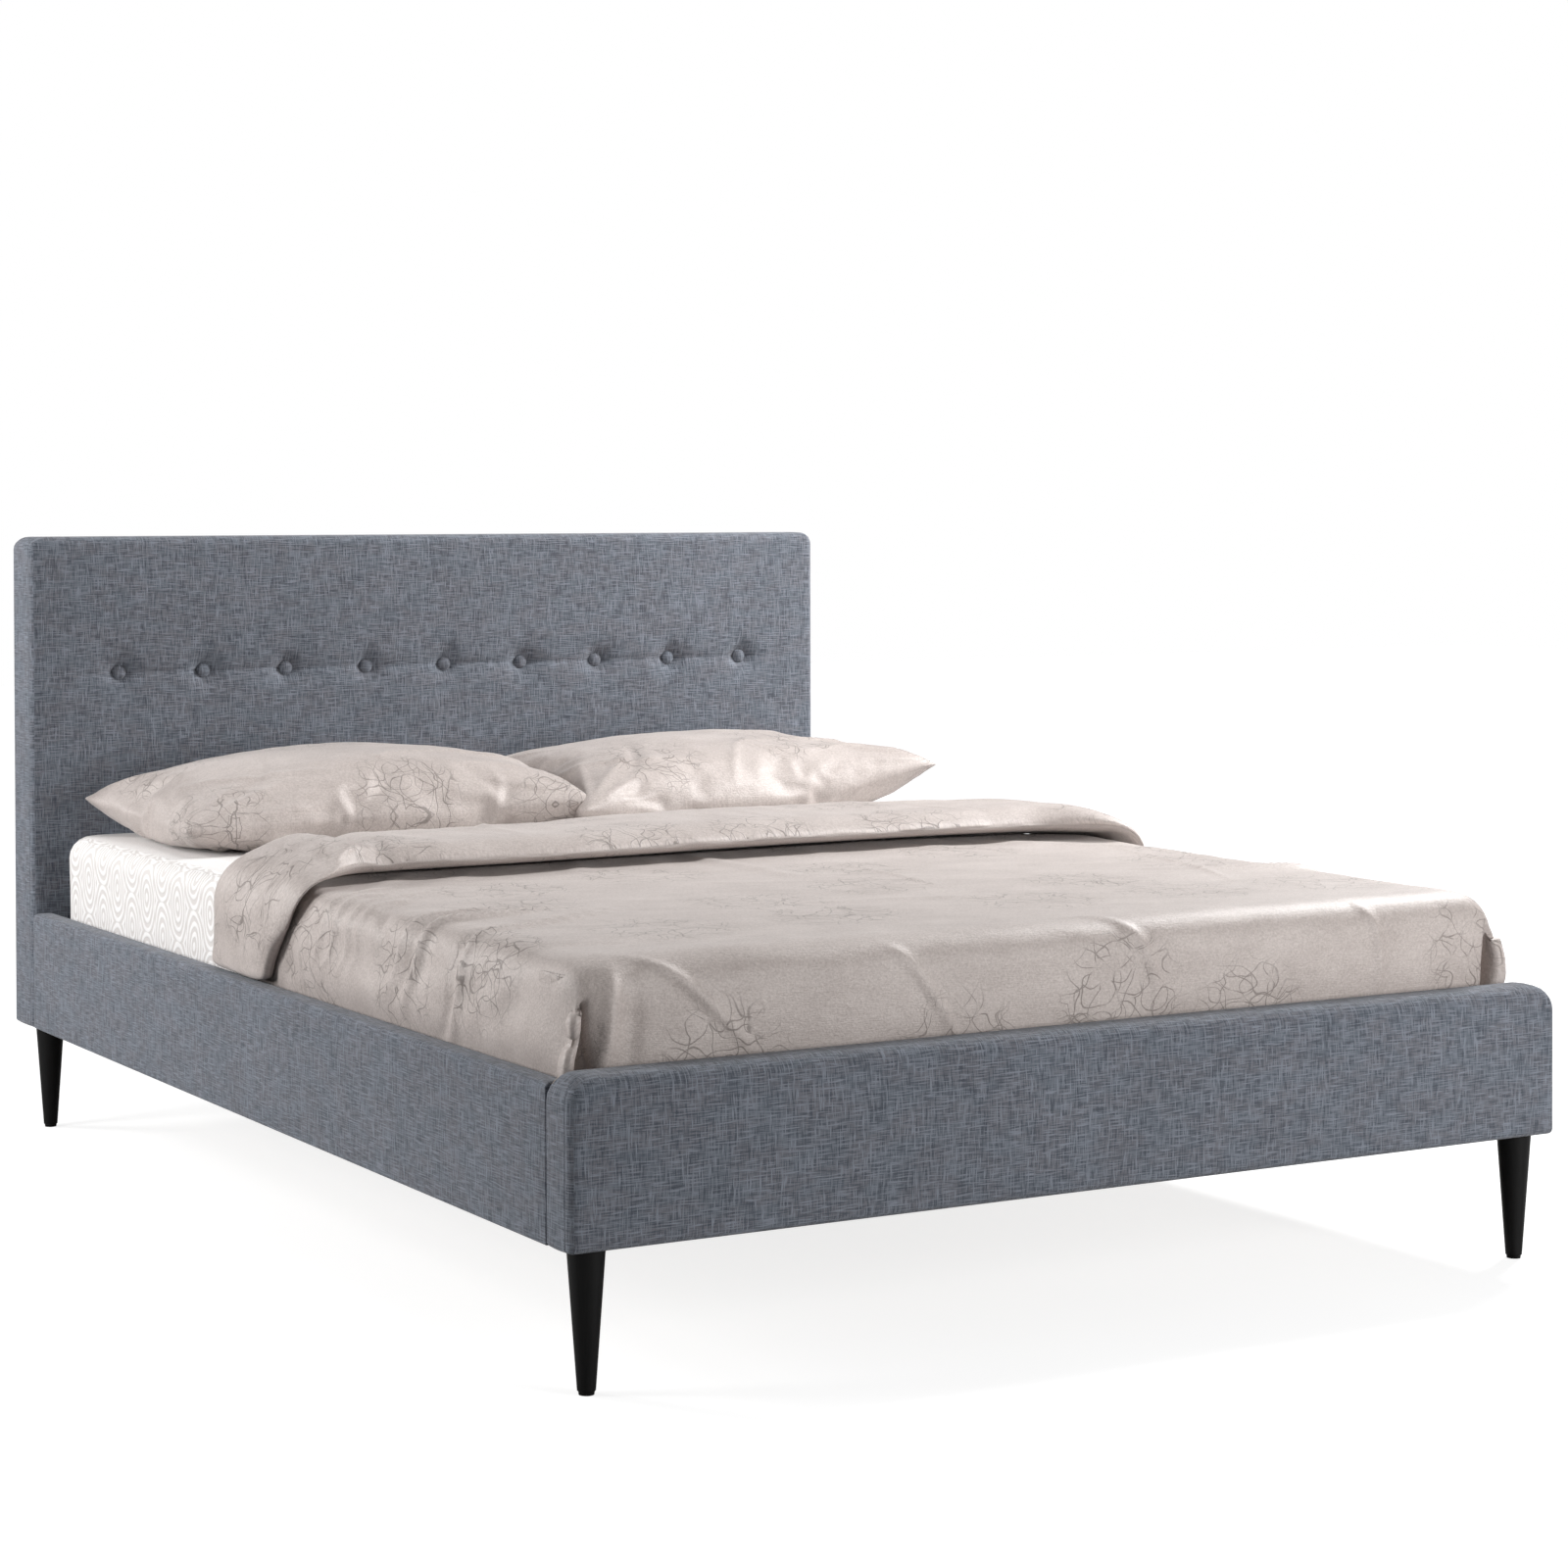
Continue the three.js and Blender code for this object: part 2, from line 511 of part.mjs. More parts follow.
// The duvet covers the foot end and both sides of the mattress and is tucked in between mattress and frame.
// Its head end is turned back in a cuff, whose hem and fold bow towards the pillows.
function duvet() {
  const clear = 2 * GAP;
  const [mattressX, mattressY] = [MATTRESS.halfWidth + clear, MATTRESS.front - clear];
  const [outerX, outerY] = [mattressX + DUVET_SIDE, mattressY - DUVET_SIDE];
  const [under, top] = [MATTRESS_TOP + clear, MATTRESS_TOP + clear + DUVET_THICKNESS];
  const canopy = (halfWidth, front, height, edge) => {
    const across = roundedRectangle(-halfWidth, 0, halfWidth, height, [0, 0, edge, edge]);
    const along = roundedRectangle(front, 0, FAR, height, [0, 0, 0, edge]);
    return solidOf(extrudeAlongY(across, front, FAR)).intersect(
      solidOf(extrudeAlongX(along, -halfWidth, halfWidth)),
    );
  };
  const body = canopy(outerX, outerY, top, 44).intersect(bowedBand(-FAR, 0, CUFF.fold, CUFF.foldBow));
  const aboveRails = solidBlock(-FAR, FAR, -FAR, FAR, RAIL_TOP + 4, FAR);
  const cuff = canopy(outerX + CUFF.bulge, outerY, top + CUFF.height, 60)
    .intersect(bowedBand(CUFF.hem, CUFF.hemBow, CUFF.fold, CUFF.foldBow))
    .intersect(aboveRails);
  const hollow = canopy(mattressX, mattressY, under, 30);
  const aboveTuck = solidBlock(-FAR, FAR, -FAR, FAR, TUCK_BOTTOM, FAR);
  add("duvet", body.add(cuff).subtract(hollow).intersect(aboveTuck), MATERIALS.bedding);
}

// A pillow is a plump rectangle that thins towards its four corners.
function pillowGeometry() {
  const geometry = new THREE.SphereGeometry(1, 24, 12);
  const points = geometry.attributes.position;
  const squarer = (value, power) => Math.sign(value) * Math.abs(value) ** power;
  for (let index = 0; index < points.count; index += 1) {
    const [x, y, z] = [points.getX(index), points.getZ(index), points.getY(index)];
    points.setXYZ(
      index,
      PILLOW.halfLength * squarer(x, 0.62),
      -PILLOW.halfDepth * squarer(y, 0.62),
      PILLOW.halfHeight * squarer(z, 0.85),
    );
  }
  return geometry;
}

function pillows() {
  for (const [word, [x, y]] of Object.entries(PILLOW_CENTRES)) {
    const pillow = add(`pillow_${word}`, pillowGeometry(), MATERIALS.bedding);
    pillow.position.set(x, y, MATTRESS_TOP + GAP + PILLOW.halfHeight);
  }
}

headboard();
buttons();
footboard();
SIDES.forEach(([word, side]) => sideRail(word, side));
cornerBrackets();
centreBeam();
centreLegs();
slats();
legs();
mattress();
duvet();
pillows();

export default bed;
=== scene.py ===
"""Upholstered headboard bed: fabric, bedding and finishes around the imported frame.

Every length in a mesh is in metres. Sizes that a maker would give in millimetres are multiplied by MM.
"""
import math

import bmesh
import bpy
import numpy as np
from mathutils import Matrix, Vector, noise


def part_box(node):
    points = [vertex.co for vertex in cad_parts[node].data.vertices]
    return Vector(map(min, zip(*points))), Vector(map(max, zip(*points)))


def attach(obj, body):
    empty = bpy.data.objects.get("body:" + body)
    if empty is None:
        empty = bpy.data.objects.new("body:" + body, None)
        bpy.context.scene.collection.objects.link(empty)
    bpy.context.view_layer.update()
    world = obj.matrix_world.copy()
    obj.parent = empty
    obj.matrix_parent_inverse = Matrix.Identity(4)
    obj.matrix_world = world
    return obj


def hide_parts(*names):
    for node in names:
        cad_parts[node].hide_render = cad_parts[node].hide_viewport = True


bl_info = {
    "name": "Upholstered Headboard Bed",
    "version": (1, 0, 0),
    "blender": (4, 5, 0),
    "location": "3D View > Sidebar > Bed",
    "description": "Builds the upholstery, the bedding and the finishes of an upholstered bed around its frame",
    "category": "Object",
}

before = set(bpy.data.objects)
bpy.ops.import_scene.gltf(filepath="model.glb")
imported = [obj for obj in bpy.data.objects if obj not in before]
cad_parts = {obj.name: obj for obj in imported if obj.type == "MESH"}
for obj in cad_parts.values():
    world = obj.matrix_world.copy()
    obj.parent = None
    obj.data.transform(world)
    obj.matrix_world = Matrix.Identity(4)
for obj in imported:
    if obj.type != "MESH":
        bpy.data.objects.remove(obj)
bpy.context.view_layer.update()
MM = 0.001

# Places that come from the frame: lowest and highest corner of each node
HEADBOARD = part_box("headboard_cover")
BACK_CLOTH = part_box("headboard_back_cloth")
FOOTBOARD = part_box("footboard_cover")
RAIL_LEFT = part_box("side_rail_cover_left")
RAIL_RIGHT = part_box("side_rail_cover_right")
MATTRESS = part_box("mattress")
BUTTONS = [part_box(f"headboard_button_{number}") for number in range(1, 10)]
PILLOWS = {side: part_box(f"pillow_{side}") for side in ("left", "right")}
LEG_NAMES = [f"leg_{end}_{side}" for end in ("front", "rear") for side in ("left", "right")]
LEGS = [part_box(name) for name in LEG_NAMES]
SLAT_NAMES = [f"slat_{number:02d}" for number in range(1, 12)]
FRAME_BOTTOM = HEADBOARD[0].z
RAIL_TOP = RAIL_LEFT[1].z
INNER_SIDE = RAIL_RIGHT[0].x
SIDES = {"left": -1, "right": 1}


def centre(box):
    """The middle of a node's box."""
    return (box[0] + box[1]) / 2


# ---------------------------------------------------------------- colours and nodes


def linear(code):
    """An sRGB hex colour as linear RGBA."""
    channels = [int(code[i : i + 2], 16) / 255 for i in (1, 3, 5)]
    return tuple(c / 12.92 if c <= 0.04045 else ((c + 0.055) / 1.055) ** 2.4 for c in channels) + (1.0,)


def add_node(tree, kind, inputs=None, stops=(), **settings):
    """Adds a node with its settings. inputs maps a socket's name or number to a value, or to a node or socket to link.

    A node that is given stands for its first output. stops are a ramp's two ends, as (position, hex colour).
    """
    made = tree.nodes.new(kind)
    for key, value in settings.items():
        setattr(made, key, value)
    for key, value in (inputs or {}).items():
        if isinstance(value, bpy.types.Node):
            value = value.outputs[0]
        if isinstance(value, bpy.types.NodeSocket):
            tree.links.new(value, made.inputs[key])
        else:
            made.inputs[key].default_value = value
    if stops:
        for element, (position, code) in zip(made.color_ramp.elements, stops):
            element.position, element.color = position, linear(code)
    return made


MATHS, VECTORS, RANGE, MIX = "ShaderNodeMath", "ShaderNodeVectorMath", "ShaderNodeMapRange", "ShaderNodeMix"
MAPPING, NOISE, VORONOI, RAMP = "ShaderNodeMapping", "ShaderNodeTexNoise", "ShaderNodeTexVoronoi", "ShaderNodeValToRGB"
PLACE, VECTOR, BUMP = "ShaderNodeTexCoord", "ShaderNodeCombineXYZ", "ShaderNodeBump"
SOFT = {"interpolation_type": "SMOOTHSTEP"}  # a Map Range with soft ends
COLOURS = {"data_type": "RGBA"}  # a Mix of two colours, whose result is its third output


def new_material(name):
    """An empty material and its node tree."""
    made = bpy.data.materials.new(name)
    made.use_nodes = True
    made.node_tree.nodes.clear()
    return made, made.node_tree


def close_material(made, tree, shader):
    """Ends a material with one Principled BSDF, whose sockets take plain values or what the tree makes."""
    add_node(tree, "ShaderNodeOutputMaterial", {"Surface": add_node(tree, "ShaderNodeBsdfPrincipled", shader)})
    return made


def cloth_coordinates(tree, source="weave"):
    """Coordinates in metres on the cloth: its own UV map, or the Object coordinates of a small piece."""
    if source == "object":
        return add_node(tree, PLACE).outputs["Object"]
    return add_node(tree, "ShaderNodeUVMap", uv_map=source)


def stretched_noise(tree, vector, size, detail=2.0, roughness=0.5, seed=0.0, distortion=0.0):
    """Noise whose features measure size, in metres, along each axis."""
    scaled = add_node(tree, MAPPING, {"Vector": vector, "Location": (seed, seed * 1.7, seed * 0.6),
                                      "Scale": tuple(1 / length for length in size)})
    return add_node(tree, NOISE, {"Vector": scaled, "Scale": 1.0, "Detail": detail, "Roughness": roughness,
                                  "Distortion": distortion})


def weighted_sum(tree, first, share, second):
    """first times share, plus second times what is left of 1."""
    part = add_node(tree, MATHS, {0: second, 1: 1 - share}, operation="MULTIPLY")
    return add_node(tree, MATHS, {0: first, 1: share, 2: part}, operation="MULTIPLY_ADD")


def wobbled(tree, place, texture, swing):
    """A place shifted by up to half of swing each way, as a noise texture's colour says."""
    centred = add_node(tree, VECTORS, {0: texture.outputs["Color"], 1: (0.5, 0.5, 0.5)}, operation="SUBTRACT")
    scaled = add_node(tree, VECTORS, {0: centred, "Scale": swing}, operation="SCALE")
    return add_node(tree, VECTORS, {0: place, 1: scaled}, operation="ADD")


# ---------------------------------------------------------------- materials


def linen_weave(name, source, settings):
    """Linen-look polyester upholstery, plain-woven from slub yarns dyed in several greys.

    It gives the eye a heathered blue-grey with short darker and lighter streaks along and across. The yarns are drawn
    about twice as thick as real ones, so that they show from a few metres.
    """
    made, tree = new_material(name)
    flat = cloth_coordinates(tree, source)
    if source == "object":
        flat = add_node(tree, MAPPING, {"Vector": flat, "Rotation": (math.pi / 2, 0, 0)})
    along, across = settings.slub_length, settings.yarn_width
    weft = stretched_noise(tree, flat, (along, across, 1.0), detail=1.0, seed=3.1)
    warp = stretched_noise(tree, flat, (across, along * 0.8, 1.0), detail=1.0, seed=7.7)
    patches = stretched_noise(tree, flat, (60 * MM, 30 * MM, 1.0), seed=1.3)
    cloudy = stretched_noise(tree, flat, (160 * MM, 110 * MM, 1.0), detail=1.0, seed=5.0)
    warmth = add_node(tree, RANGE, {0: patches, 1: 0.38, 2: 0.62}, **SOFT)
    pale, deep = (
        add_node(tree, MATHS, {0: add_node(tree, RANGE, {0: weft, 1: 0.5, 2: weft_end}, **SOFT),
                               1: add_node(tree, RANGE, {0: warp, 1: warp_start, 2: warp_end}, **SOFT)},
                 operation="MAXIMUM")
        for weft_end, warp_start, warp_end in ((0.72, 0.52, 0.74), (0.28, 0.5, 0.28))
    )
    colour = add_node(tree, MIX, {0: warmth, 6: linear(settings.main_yarn), 7: linear(settings.warm_yarn)}, **COLOURS)
    for share, yarn in ((deep, settings.dark_yarn), (pale, settings.light_yarn)):
        colour = add_node(tree, MIX, {0: share, 6: colour.outputs[2], 7: linear(yarn)}, **COLOURS)
    shade = add_node(tree, RANGE, {0: cloudy, 1: 0.3, 2: 0.7, 3: 0.97, 4: 1.03}, **SOFT)
    shaded = add_node(tree, MIX, {0: 1.0, 6: colour.outputs[2], 7: shade}, blend_type="MULTIPLY", **COLOURS)
    height = add_node(tree, MATHS, {0: pale, 1: deep}, operation="SUBTRACT")
    relief = add_node(tree, BUMP, {"Height": height, "Distance": 0.4 * MM, "Strength": 0.7})
    return close_material(made, tree, {
        "Base Color": shaded.outputs[2], "Normal": relief, "Roughness": 0.92, "Sheen Weight": 0.18,
        "Sheen Roughness": 0.55, "Specular IOR Level": 0.22})


def satin_cotton(name, settings):
    """Sateen-woven cotton with machine-embroidered scribbles.

    It gives the eye a soft champagne sheen, fine crinkles, and loose tangles of thin dark thread: loops of several
    sizes in a round motif at each cell of a coarse grid. Weave and embroidery thread are drawn several times as
    coarse as real ones, so that they show.
    """
    made, tree = new_material(name)
    flat = cloth_coordinates(tree)
    cell, spread, thread = settings.motif_spacing, settings.motif_radius, settings.thread_width
    plane = {"voronoi_dimensions": "2D"}
    scaled = add_node(tree, VECTORS, {0: flat, "Scale": 1 / cell}, operation="SCALE")
    cells = add_node(tree, VORONOI, {"Vector": scaled, "Scale": 1.0, "Randomness": 0.55}, **plane)
    offset = add_node(tree, VECTORS, {0: scaled, 1: cells.outputs["Position"]}, operation="SUBTRACT")
    from_centre = add_node(tree, VECTORS, {0: offset}, operation="LENGTH").outputs["Value"]
    strokes = 0.0
    swing = 62 * MM
    loops = ((118 * MM, 0.42), (98 * MM, 0.46), (84 * MM, 0.40), (70 * MM, 0.45), (140 * MM, 0.36), (90 * MM, 0.30))
    for index, (loop, share) in enumerate(loops):
        wobble_at = add_node(tree, MAPPING, {"Vector": flat, "Location": (index * 3.3, index * 1.9, 0),
                                             "Scale": (1 / swing,) * 3})
        texture = add_node(tree, NOISE, {"Vector": wobble_at, "Scale": 1.0, "Detail": 1.0})
        placed = add_node(tree, MAPPING, {"Vector": wobbled(tree, flat, texture, swing), "Scale": (1 / loop,) * 3,
                                          "Location": (index * 5.7, index * 2.3, 0)})
        rounds = add_node(tree, VORONOI, {"Vector": placed, "Scale": 1.0, "Randomness": 1.0}, **plane)
        reach = add_node(tree, MATHS, {0: rounds.outputs["Distance"], 1: share}, operation="SUBTRACT")
        to_line = add_node(tree, MATHS, {0: reach}, operation="ABSOLUTE")
        line = add_node(tree, RANGE, {0: to_line, 1: thread / loop * 0.4, 2: thread / loop * 1.1, 3: 1.0, 4: 0.0},
                        **SOFT)
        strokes = add_node(tree, MATHS, {0: line, 1: strokes}, operation="MAXIMUM")
    patch = add_node(tree, RANGE, {0: from_centre, 1: spread * 0.6 / cell, 2: spread / cell, 3: 1.0, 4: 0.0}, **SOFT)
    worn = stretched_noise(tree, flat, (35 * MM,) * 3, seed=2.2)
    breaks = add_node(tree, RANGE, {0: worn, 1: 0.36, 2: 0.5, 3: 0.2}, **SOFT)
    motif = add_node(tree, MATHS, {0: strokes, 1: patch}, operation="MULTIPLY")
    embroidery = add_node(tree, MATHS, {0: motif, 1: breaks}, operation="MULTIPLY")
    crinkle = stretched_noise(tree, flat, (3.2 * MM,) * 3, detail=3.0, roughness=0.65, seed=4.0)
    thread_run = stretched_noise(tree, flat, (14 * MM, 1.6 * MM, 1.0), seed=8.0)
    clouds = stretched_noise(tree, flat, (90 * MM, 60 * MM, 1.0), seed=6.0)
    cotton = add_node(tree, RAMP, {0: weighted_sum(tree, crinkle, 0.7, clouds)},
                      [(0.32, settings.fabric_shade), (0.68, settings.fabric_light)])
    share = add_node(tree, MATHS, {0: embroidery, 1: settings.thread_contrast}, operation="MULTIPLY")
    colour = add_node(tree, MIX, {0: share, 6: cotton, 7: linear(settings.thread)}, **COLOURS)
    height = add_node(tree, MATHS, {0: crinkle, 1: thread_run}, operation="ADD")
    fine = add_node(tree, BUMP, {"Height": height, "Distance": 0.8 * MM, "Strength": 0.75})
    relief = add_node(tree, BUMP, {"Height": embroidery, "Distance": 0.5 * MM, "Strength": 0.6, "Normal": fine})
    return close_material(made, tree, {
        "Base Color": colour.outputs[2], "Normal": relief, "Roughness": 0.5, "Sheen Weight": 0.15,
        "Sheen Roughness": 0.45, "Specular IOR Level": 0.4})


def knitted_ticking(name, settings, embossed):
    """Quilted off-white viscose ticking. Embossed panels carry staggered upright ovals drawn as nested rings.

    It gives the eye a matt, near-white knit, with the valleys between its raised rings painted a little darker as
    painted shade.
    The knit is drawn about twice as coarse as a real one, so that it shows.
    """
    made, tree = new_material(name)
    flat = cloth_coordinates(tree)
    finish = {"Roughness": 0.85, "Sheen Weight": 0.2, "Specular IOR Level": 0.3}
    stitch = stretched_noise(tree, flat, (1.4 * MM, 1.8 * MM, 1.0), seed=2.0)
    plain = add_node(tree, RAMP, {0: stitch}, [(0.3, settings.ticking_tone_and_valley_shade), (0.7, settings.ticking)])
    fine = add_node(tree, BUMP, {"Height": stitch, "Distance": 0.4 * MM, "Strength": 0.5})
    if not embossed:
        return close_material(made, tree, {"Base Color": plain, "Normal": fine, **finish})
    wobble = add_node(tree, NOISE, {"Vector": flat, "Scale": 22.0, "Detail": 1.0})
    parts = add_node(tree, "ShaderNodeSeparateXYZ", {0: wobbled(tree, flat, wobble, 10 * MM)}).outputs
    column = add_node(tree, MATHS, {0: parts[0], 1: settings.oval_width}, operation="DIVIDE")
    level = add_node(tree, MATHS, {0: parts[1], 1: settings.oval_height}, operation="DIVIDE")
    whole = add_node(tree, MATHS, {0: column}, operation="FLOOR")
    odd = add_node(tree, MATHS, {0: whole, 1: 1.0}, operation="PINGPONG")
    row = add_node(tree, MATHS, {0: odd, 1: 0.5, 2: level}, operation="MULTIPLY_ADD")
    squares = []
    for place in (column, row):
        inside = add_node(tree, MATHS, {0: place}, operation="FRACT")
        from_middle = add_node(tree, MATHS, {0: inside, 1: 0.5}, operation="SUBTRACT")
        squares.append(add_node(tree, MATHS, {0: from_middle, 1: 2.0}, operation="POWER"))
    total = add_node(tree, MATHS, {0: squares[0], 1: squares[1]}, operation="ADD")
    radius = add_node(tree, MATHS, {0: total}, operation="SQRT")
    rings_per_oval = 7
    turns = add_node(tree, MATHS, {0: radius, 1: 2 * math.pi * rings_per_oval}, operation="MULTIPLY")
    rings = add_node(tree, MATHS, {0: turns}, operation="SINE")
    ridge = add_node(tree, RANGE, {0: rings, 1: -0.6, 2: 0.8}, **SOFT)
    # Painted shade: the valleys between the raised rings take the darker ticking colour, and the ridges the lighter
    # one
    colours = [linear(settings.ticking_tone_and_valley_shade), plain]
    for strength in (0.35, 0.9):
        share = add_node(tree, MATHS, {0: ridge, 1: strength}, operation="MULTIPLY")
        ticking_with_valley_shade = add_node(tree, MIX, {0: share, 6: colours[0], 7: colours[1]}, **COLOURS).outputs[2]
        colours = [ticking_with_valley_shade, linear(settings.ticking)]
    relief = add_node(tree, BUMP, {"Height": ridge, "Distance": 1.2 * MM, "Strength": 0.7, "Normal": fine})
    return close_material(made, tree, {"Base Color": ticking_with_valley_shade, "Normal": relief, **finish})


def planed_timber(name, light, dark, axis):
    """Planed softwood, bare. It gives the eye long straight grain in two close tones along the given axis."""
    made, tree = new_material(name)
    place = add_node(tree, PLACE).outputs["Object"]
    ring = [420 * MM if k == axis else 9 * MM for k in range(3)]
    fibre = [60 * MM if k == axis else 1.1 * MM for k in range(3)]
    grain = stretched_noise(tree, place, ring, detail=4.0, roughness=0.55, seed=3.0, distortion=0.6)
    fibres = stretched_noise(tree, place, fibre, seed=9.0)
    colour = add_node(tree, RAMP, {0: weighted_sum(tree, grain, 0.75, fibres)}, [(0.36, dark), (0.62, light)])
    relief = add_node(tree, BUMP, {"Height": fibres, "Distance": 0.25 * MM, "Strength": 0.4})
    return close_material(made, tree, {
        "Base Color": colour, "Normal": relief, "Roughness": 0.62, "Specular IOR Level": 0.4})


def rough_stock(name, light, dark, size, depth, roughness):
    """Plywood, cut foam and other stock that is only glimpsed. It gives the eye mottled, open grain or cells."""
    made, tree = new_material(name)
    place = add_node(tree, PLACE).outputs["Object"]
    spots = stretched_noise(tree, place, size, detail=4.0, roughness=0.6, seed=1.0)
    colour = add_node(tree, RAMP, {0: spots}, [(0.35, dark), (0.65, light)])
    relief = add_node(tree, BUMP, {"Height": spots, "Distance": depth, "Strength": 0.6})
    return close_material(made, tree, {
        "Base Color": colour, "Normal": relief, "Roughness": roughness, "Specular IOR Level": 0.3})


def satin_lacquer(name, settings):
    """Sprayed black lacquer on turned beech. It gives the eye a deep black with a soft broad highlight."""
    made, tree = new_material(name)
    place = add_node(tree, PLACE).outputs["Object"]
    grain = stretched_noise(tree, place, (2 * MM, 2 * MM, 60 * MM), detail=3.0, seed=2.0)
    peel = stretched_noise(tree, place, (1.5 * MM,) * 3, detail=1.0, seed=5.0)
    colour = add_node(tree, RAMP, {0: grain}, [(0.3, settings.lacquer), (0.7, settings.lacquer_light)])
    gloss = add_node(tree, RANGE, {0: peel, 1: 0.3, 2: 0.7, 3: 0.34, 4: 0.44}, **SOFT)
    height = add_node(tree, MATHS, {0: grain, 1: peel}, operation="ADD")
    relief = add_node(tree, BUMP, {"Height": height, "Distance": 0.08 * MM, "Strength": 0.3})
    return close_material(made, tree, {
        "Base Color": colour, "Normal": relief, "Roughness": gloss, "Specular IOR Level": 0.22, "IOR": 1.5})


def powder_coat(name, code, light, metallic, roughness, texture):
    """Black powder coat on steel, or moulded black plastic. It gives the eye a fine even orange-peel texture."""
    made, tree = new_material(name)
    place = add_node(tree, PLACE).outputs["Object"]
    peel = stretched_noise(tree, place, (texture,) * 3, seed=1.0)
    colour = add_node(tree, RAMP, {0: peel}, [(0.3, code), (0.75, light)])
    relief = add_node(tree, BUMP, {"Height": peel, "Distance": 0.12 * MM, "Strength": 0.5})
    return close_material(made, tree, {
        "Base Color": colour, "Normal": relief, "Metallic": metallic, "Roughness": roughness})


def spunbond(name, settings):
    """Black spunbonded dust cloth, bonded in a grid of tiny points. It gives the eye a matt, faintly dotted black."""
    made, tree = new_material(name)
    flat = cloth_coordinates(tree)
    pitch = 3 * MM  # drawn about twice as coarse as real bond points, so that they show
    scaled = add_node(tree, VECTORS, {0: flat, "Scale": 1 / pitch}, operation="SCALE")
    dots = add_node(tree, VORONOI, {"Vector": scaled, "Scale": 1.0, "Randomness": 0.0}, voronoi_dimensions="2D")
    fibres = stretched_noise(tree, flat, (1.2 * MM, 12 * MM, 1.0), detail=3.0, seed=2.0)
    tone = weighted_sum(tree, dots, 0.5, fibres)
    colour = add_node(tree, RAMP, {0: tone}, [(0.25, settings.dust_cloth), (0.75, settings.dust_cloth_light)])
    relief = add_node(tree, BUMP, {"Height": tone, "Distance": 0.3 * MM, "Strength": 0.5})
    return close_material(made, tree, {
        "Base Color": colour, "Normal": relief, "Roughness": 0.9, "Sheen Weight": 0.1, "Specular IOR Level": 0.25})


MATERIALS = {}


def material(name, build, *arguments):
    """Each material is built once, when the first piece asks for it."""
    if name not in MATERIALS:
        MATERIALS[name] = build(name, *arguments)
    return MATERIALS[name]


# ---------------------------------------------------------------- meshes


def ripples(points, size, seed=0.0):
    """Smooth noise from -1 to 1 at each point, with features of the given size."""
    shift = Vector((seed * 13.7, seed * 5.1, seed * 9.3))
    return np.array([noise.noise(Vector(p) / size + shift) for p in points])


def on_plane(first, second):
    """Points at zero height, for noise."""
    return np.column_stack([first, second, np.zeros_like(second)])


def read(items, key, width=1, kind=np.float64):
    """One value, or one row of width values, for each item of a mesh."""
    values = np.zeros(len(items) * width, kind)
    items.foreach_get(key, values)
    return values.reshape(-1, width) if width > 1 else values


def write_weave(mesh, places):
    """Writes the UV map of the cloth, in metres: one place for each corner of each face."""
    layer = mesh.uv_layers.new(name="weave")
    layer.data.foreach_set("uv", np.asarray(places, np.float32).ravel())


def project_weave(mesh):
    """Lays each face flat along the axis that it faces most."""
    places = coordinates(mesh)[read(mesh.loops, "vertex_index", kind=np.int64)]
    normals = read(mesh.polygons, "normal", 3)
    facing = np.repeat(np.abs(normals).argmax(1), read(mesh.polygons, "loop_total", kind=np.int64))
    first = np.where(facing == 0, places[:, 1], places[:, 0])
    second = np.where(facing == 2, places[:, 1], places[:, 2])
    write_weave(mesh, np.column_stack([first, second]))


def add_object(name, data):
    """An object in the scene, at the origin."""
    made = bpy.data.objects.new(name, data)
    bpy.context.scene.collection.objects.link(made)
    return made


def make_piece(name, points, faces, material_list, flat=None):
    """A smooth mesh object in the row frame. flat gives each point's place on the unrolled cloth, in metres."""
    mesh = bpy.data.meshes.new(name)
    mesh.from_pydata(np.asarray(points).tolist(), [], faces)
    mesh.update()
    if flat is None:
        project_weave(mesh)
    else:
        write_weave(mesh, np.asarray(flat)[read(mesh.loops, "vertex_index", kind=np.int64)])
    mesh.shade_smooth()
    for entry in material_list:
        mesh.materials.append(entry)
    return add_object(name, mesh)


def coordinates(mesh):
    """A mesh's vertex places as an array."""
    return read(mesh.vertices, "co", 3)


def move_vertices(mesh, places):
    """Puts a mesh's vertices at new places."""
    mesh.vertices.foreach_set("co", np.asarray(places, np.float32).ravel())
    mesh.update()


def vertex_normals(mesh):
    """A mesh's vertex normals as an array."""
    return read(mesh.vertices, "normal", 3)


def thicken(piece, thickness):
    """Gives a sheet its thickness behind its face."""
    solid = piece.modifiers.new("Thickness", "SOLIDIFY")
    solid.thickness = thickness
    solid.offset = -1.0


def subdivide(piece):
    """Adds one smooth subdivision."""
    finer = piece.modifiers.new("Subdivision", "SUBSURF")
    finer.levels = finer.render_levels = 1


def corner_fan(size, radius, steps):
    """Offsets from (size, 0) to (0, size) round a corner square whose tip has a radius, with their directions."""
    reach = size - radius
    fan = [((size, reach * t), (1.0, 0.0)) for t in (0.5, 1.0) if reach > 0]
    for step in range(1, steps):
        angle = step / steps * math.pi / 2
        way = (math.cos(angle), math.sin(angle))
        fan.append(((reach + radius * way[0], reach + radius * way[1]), way))
    fan += [((reach * t, size), (0.0, 1.0)) for t in (1.0, 0.5) if reach > 0]
    return fan


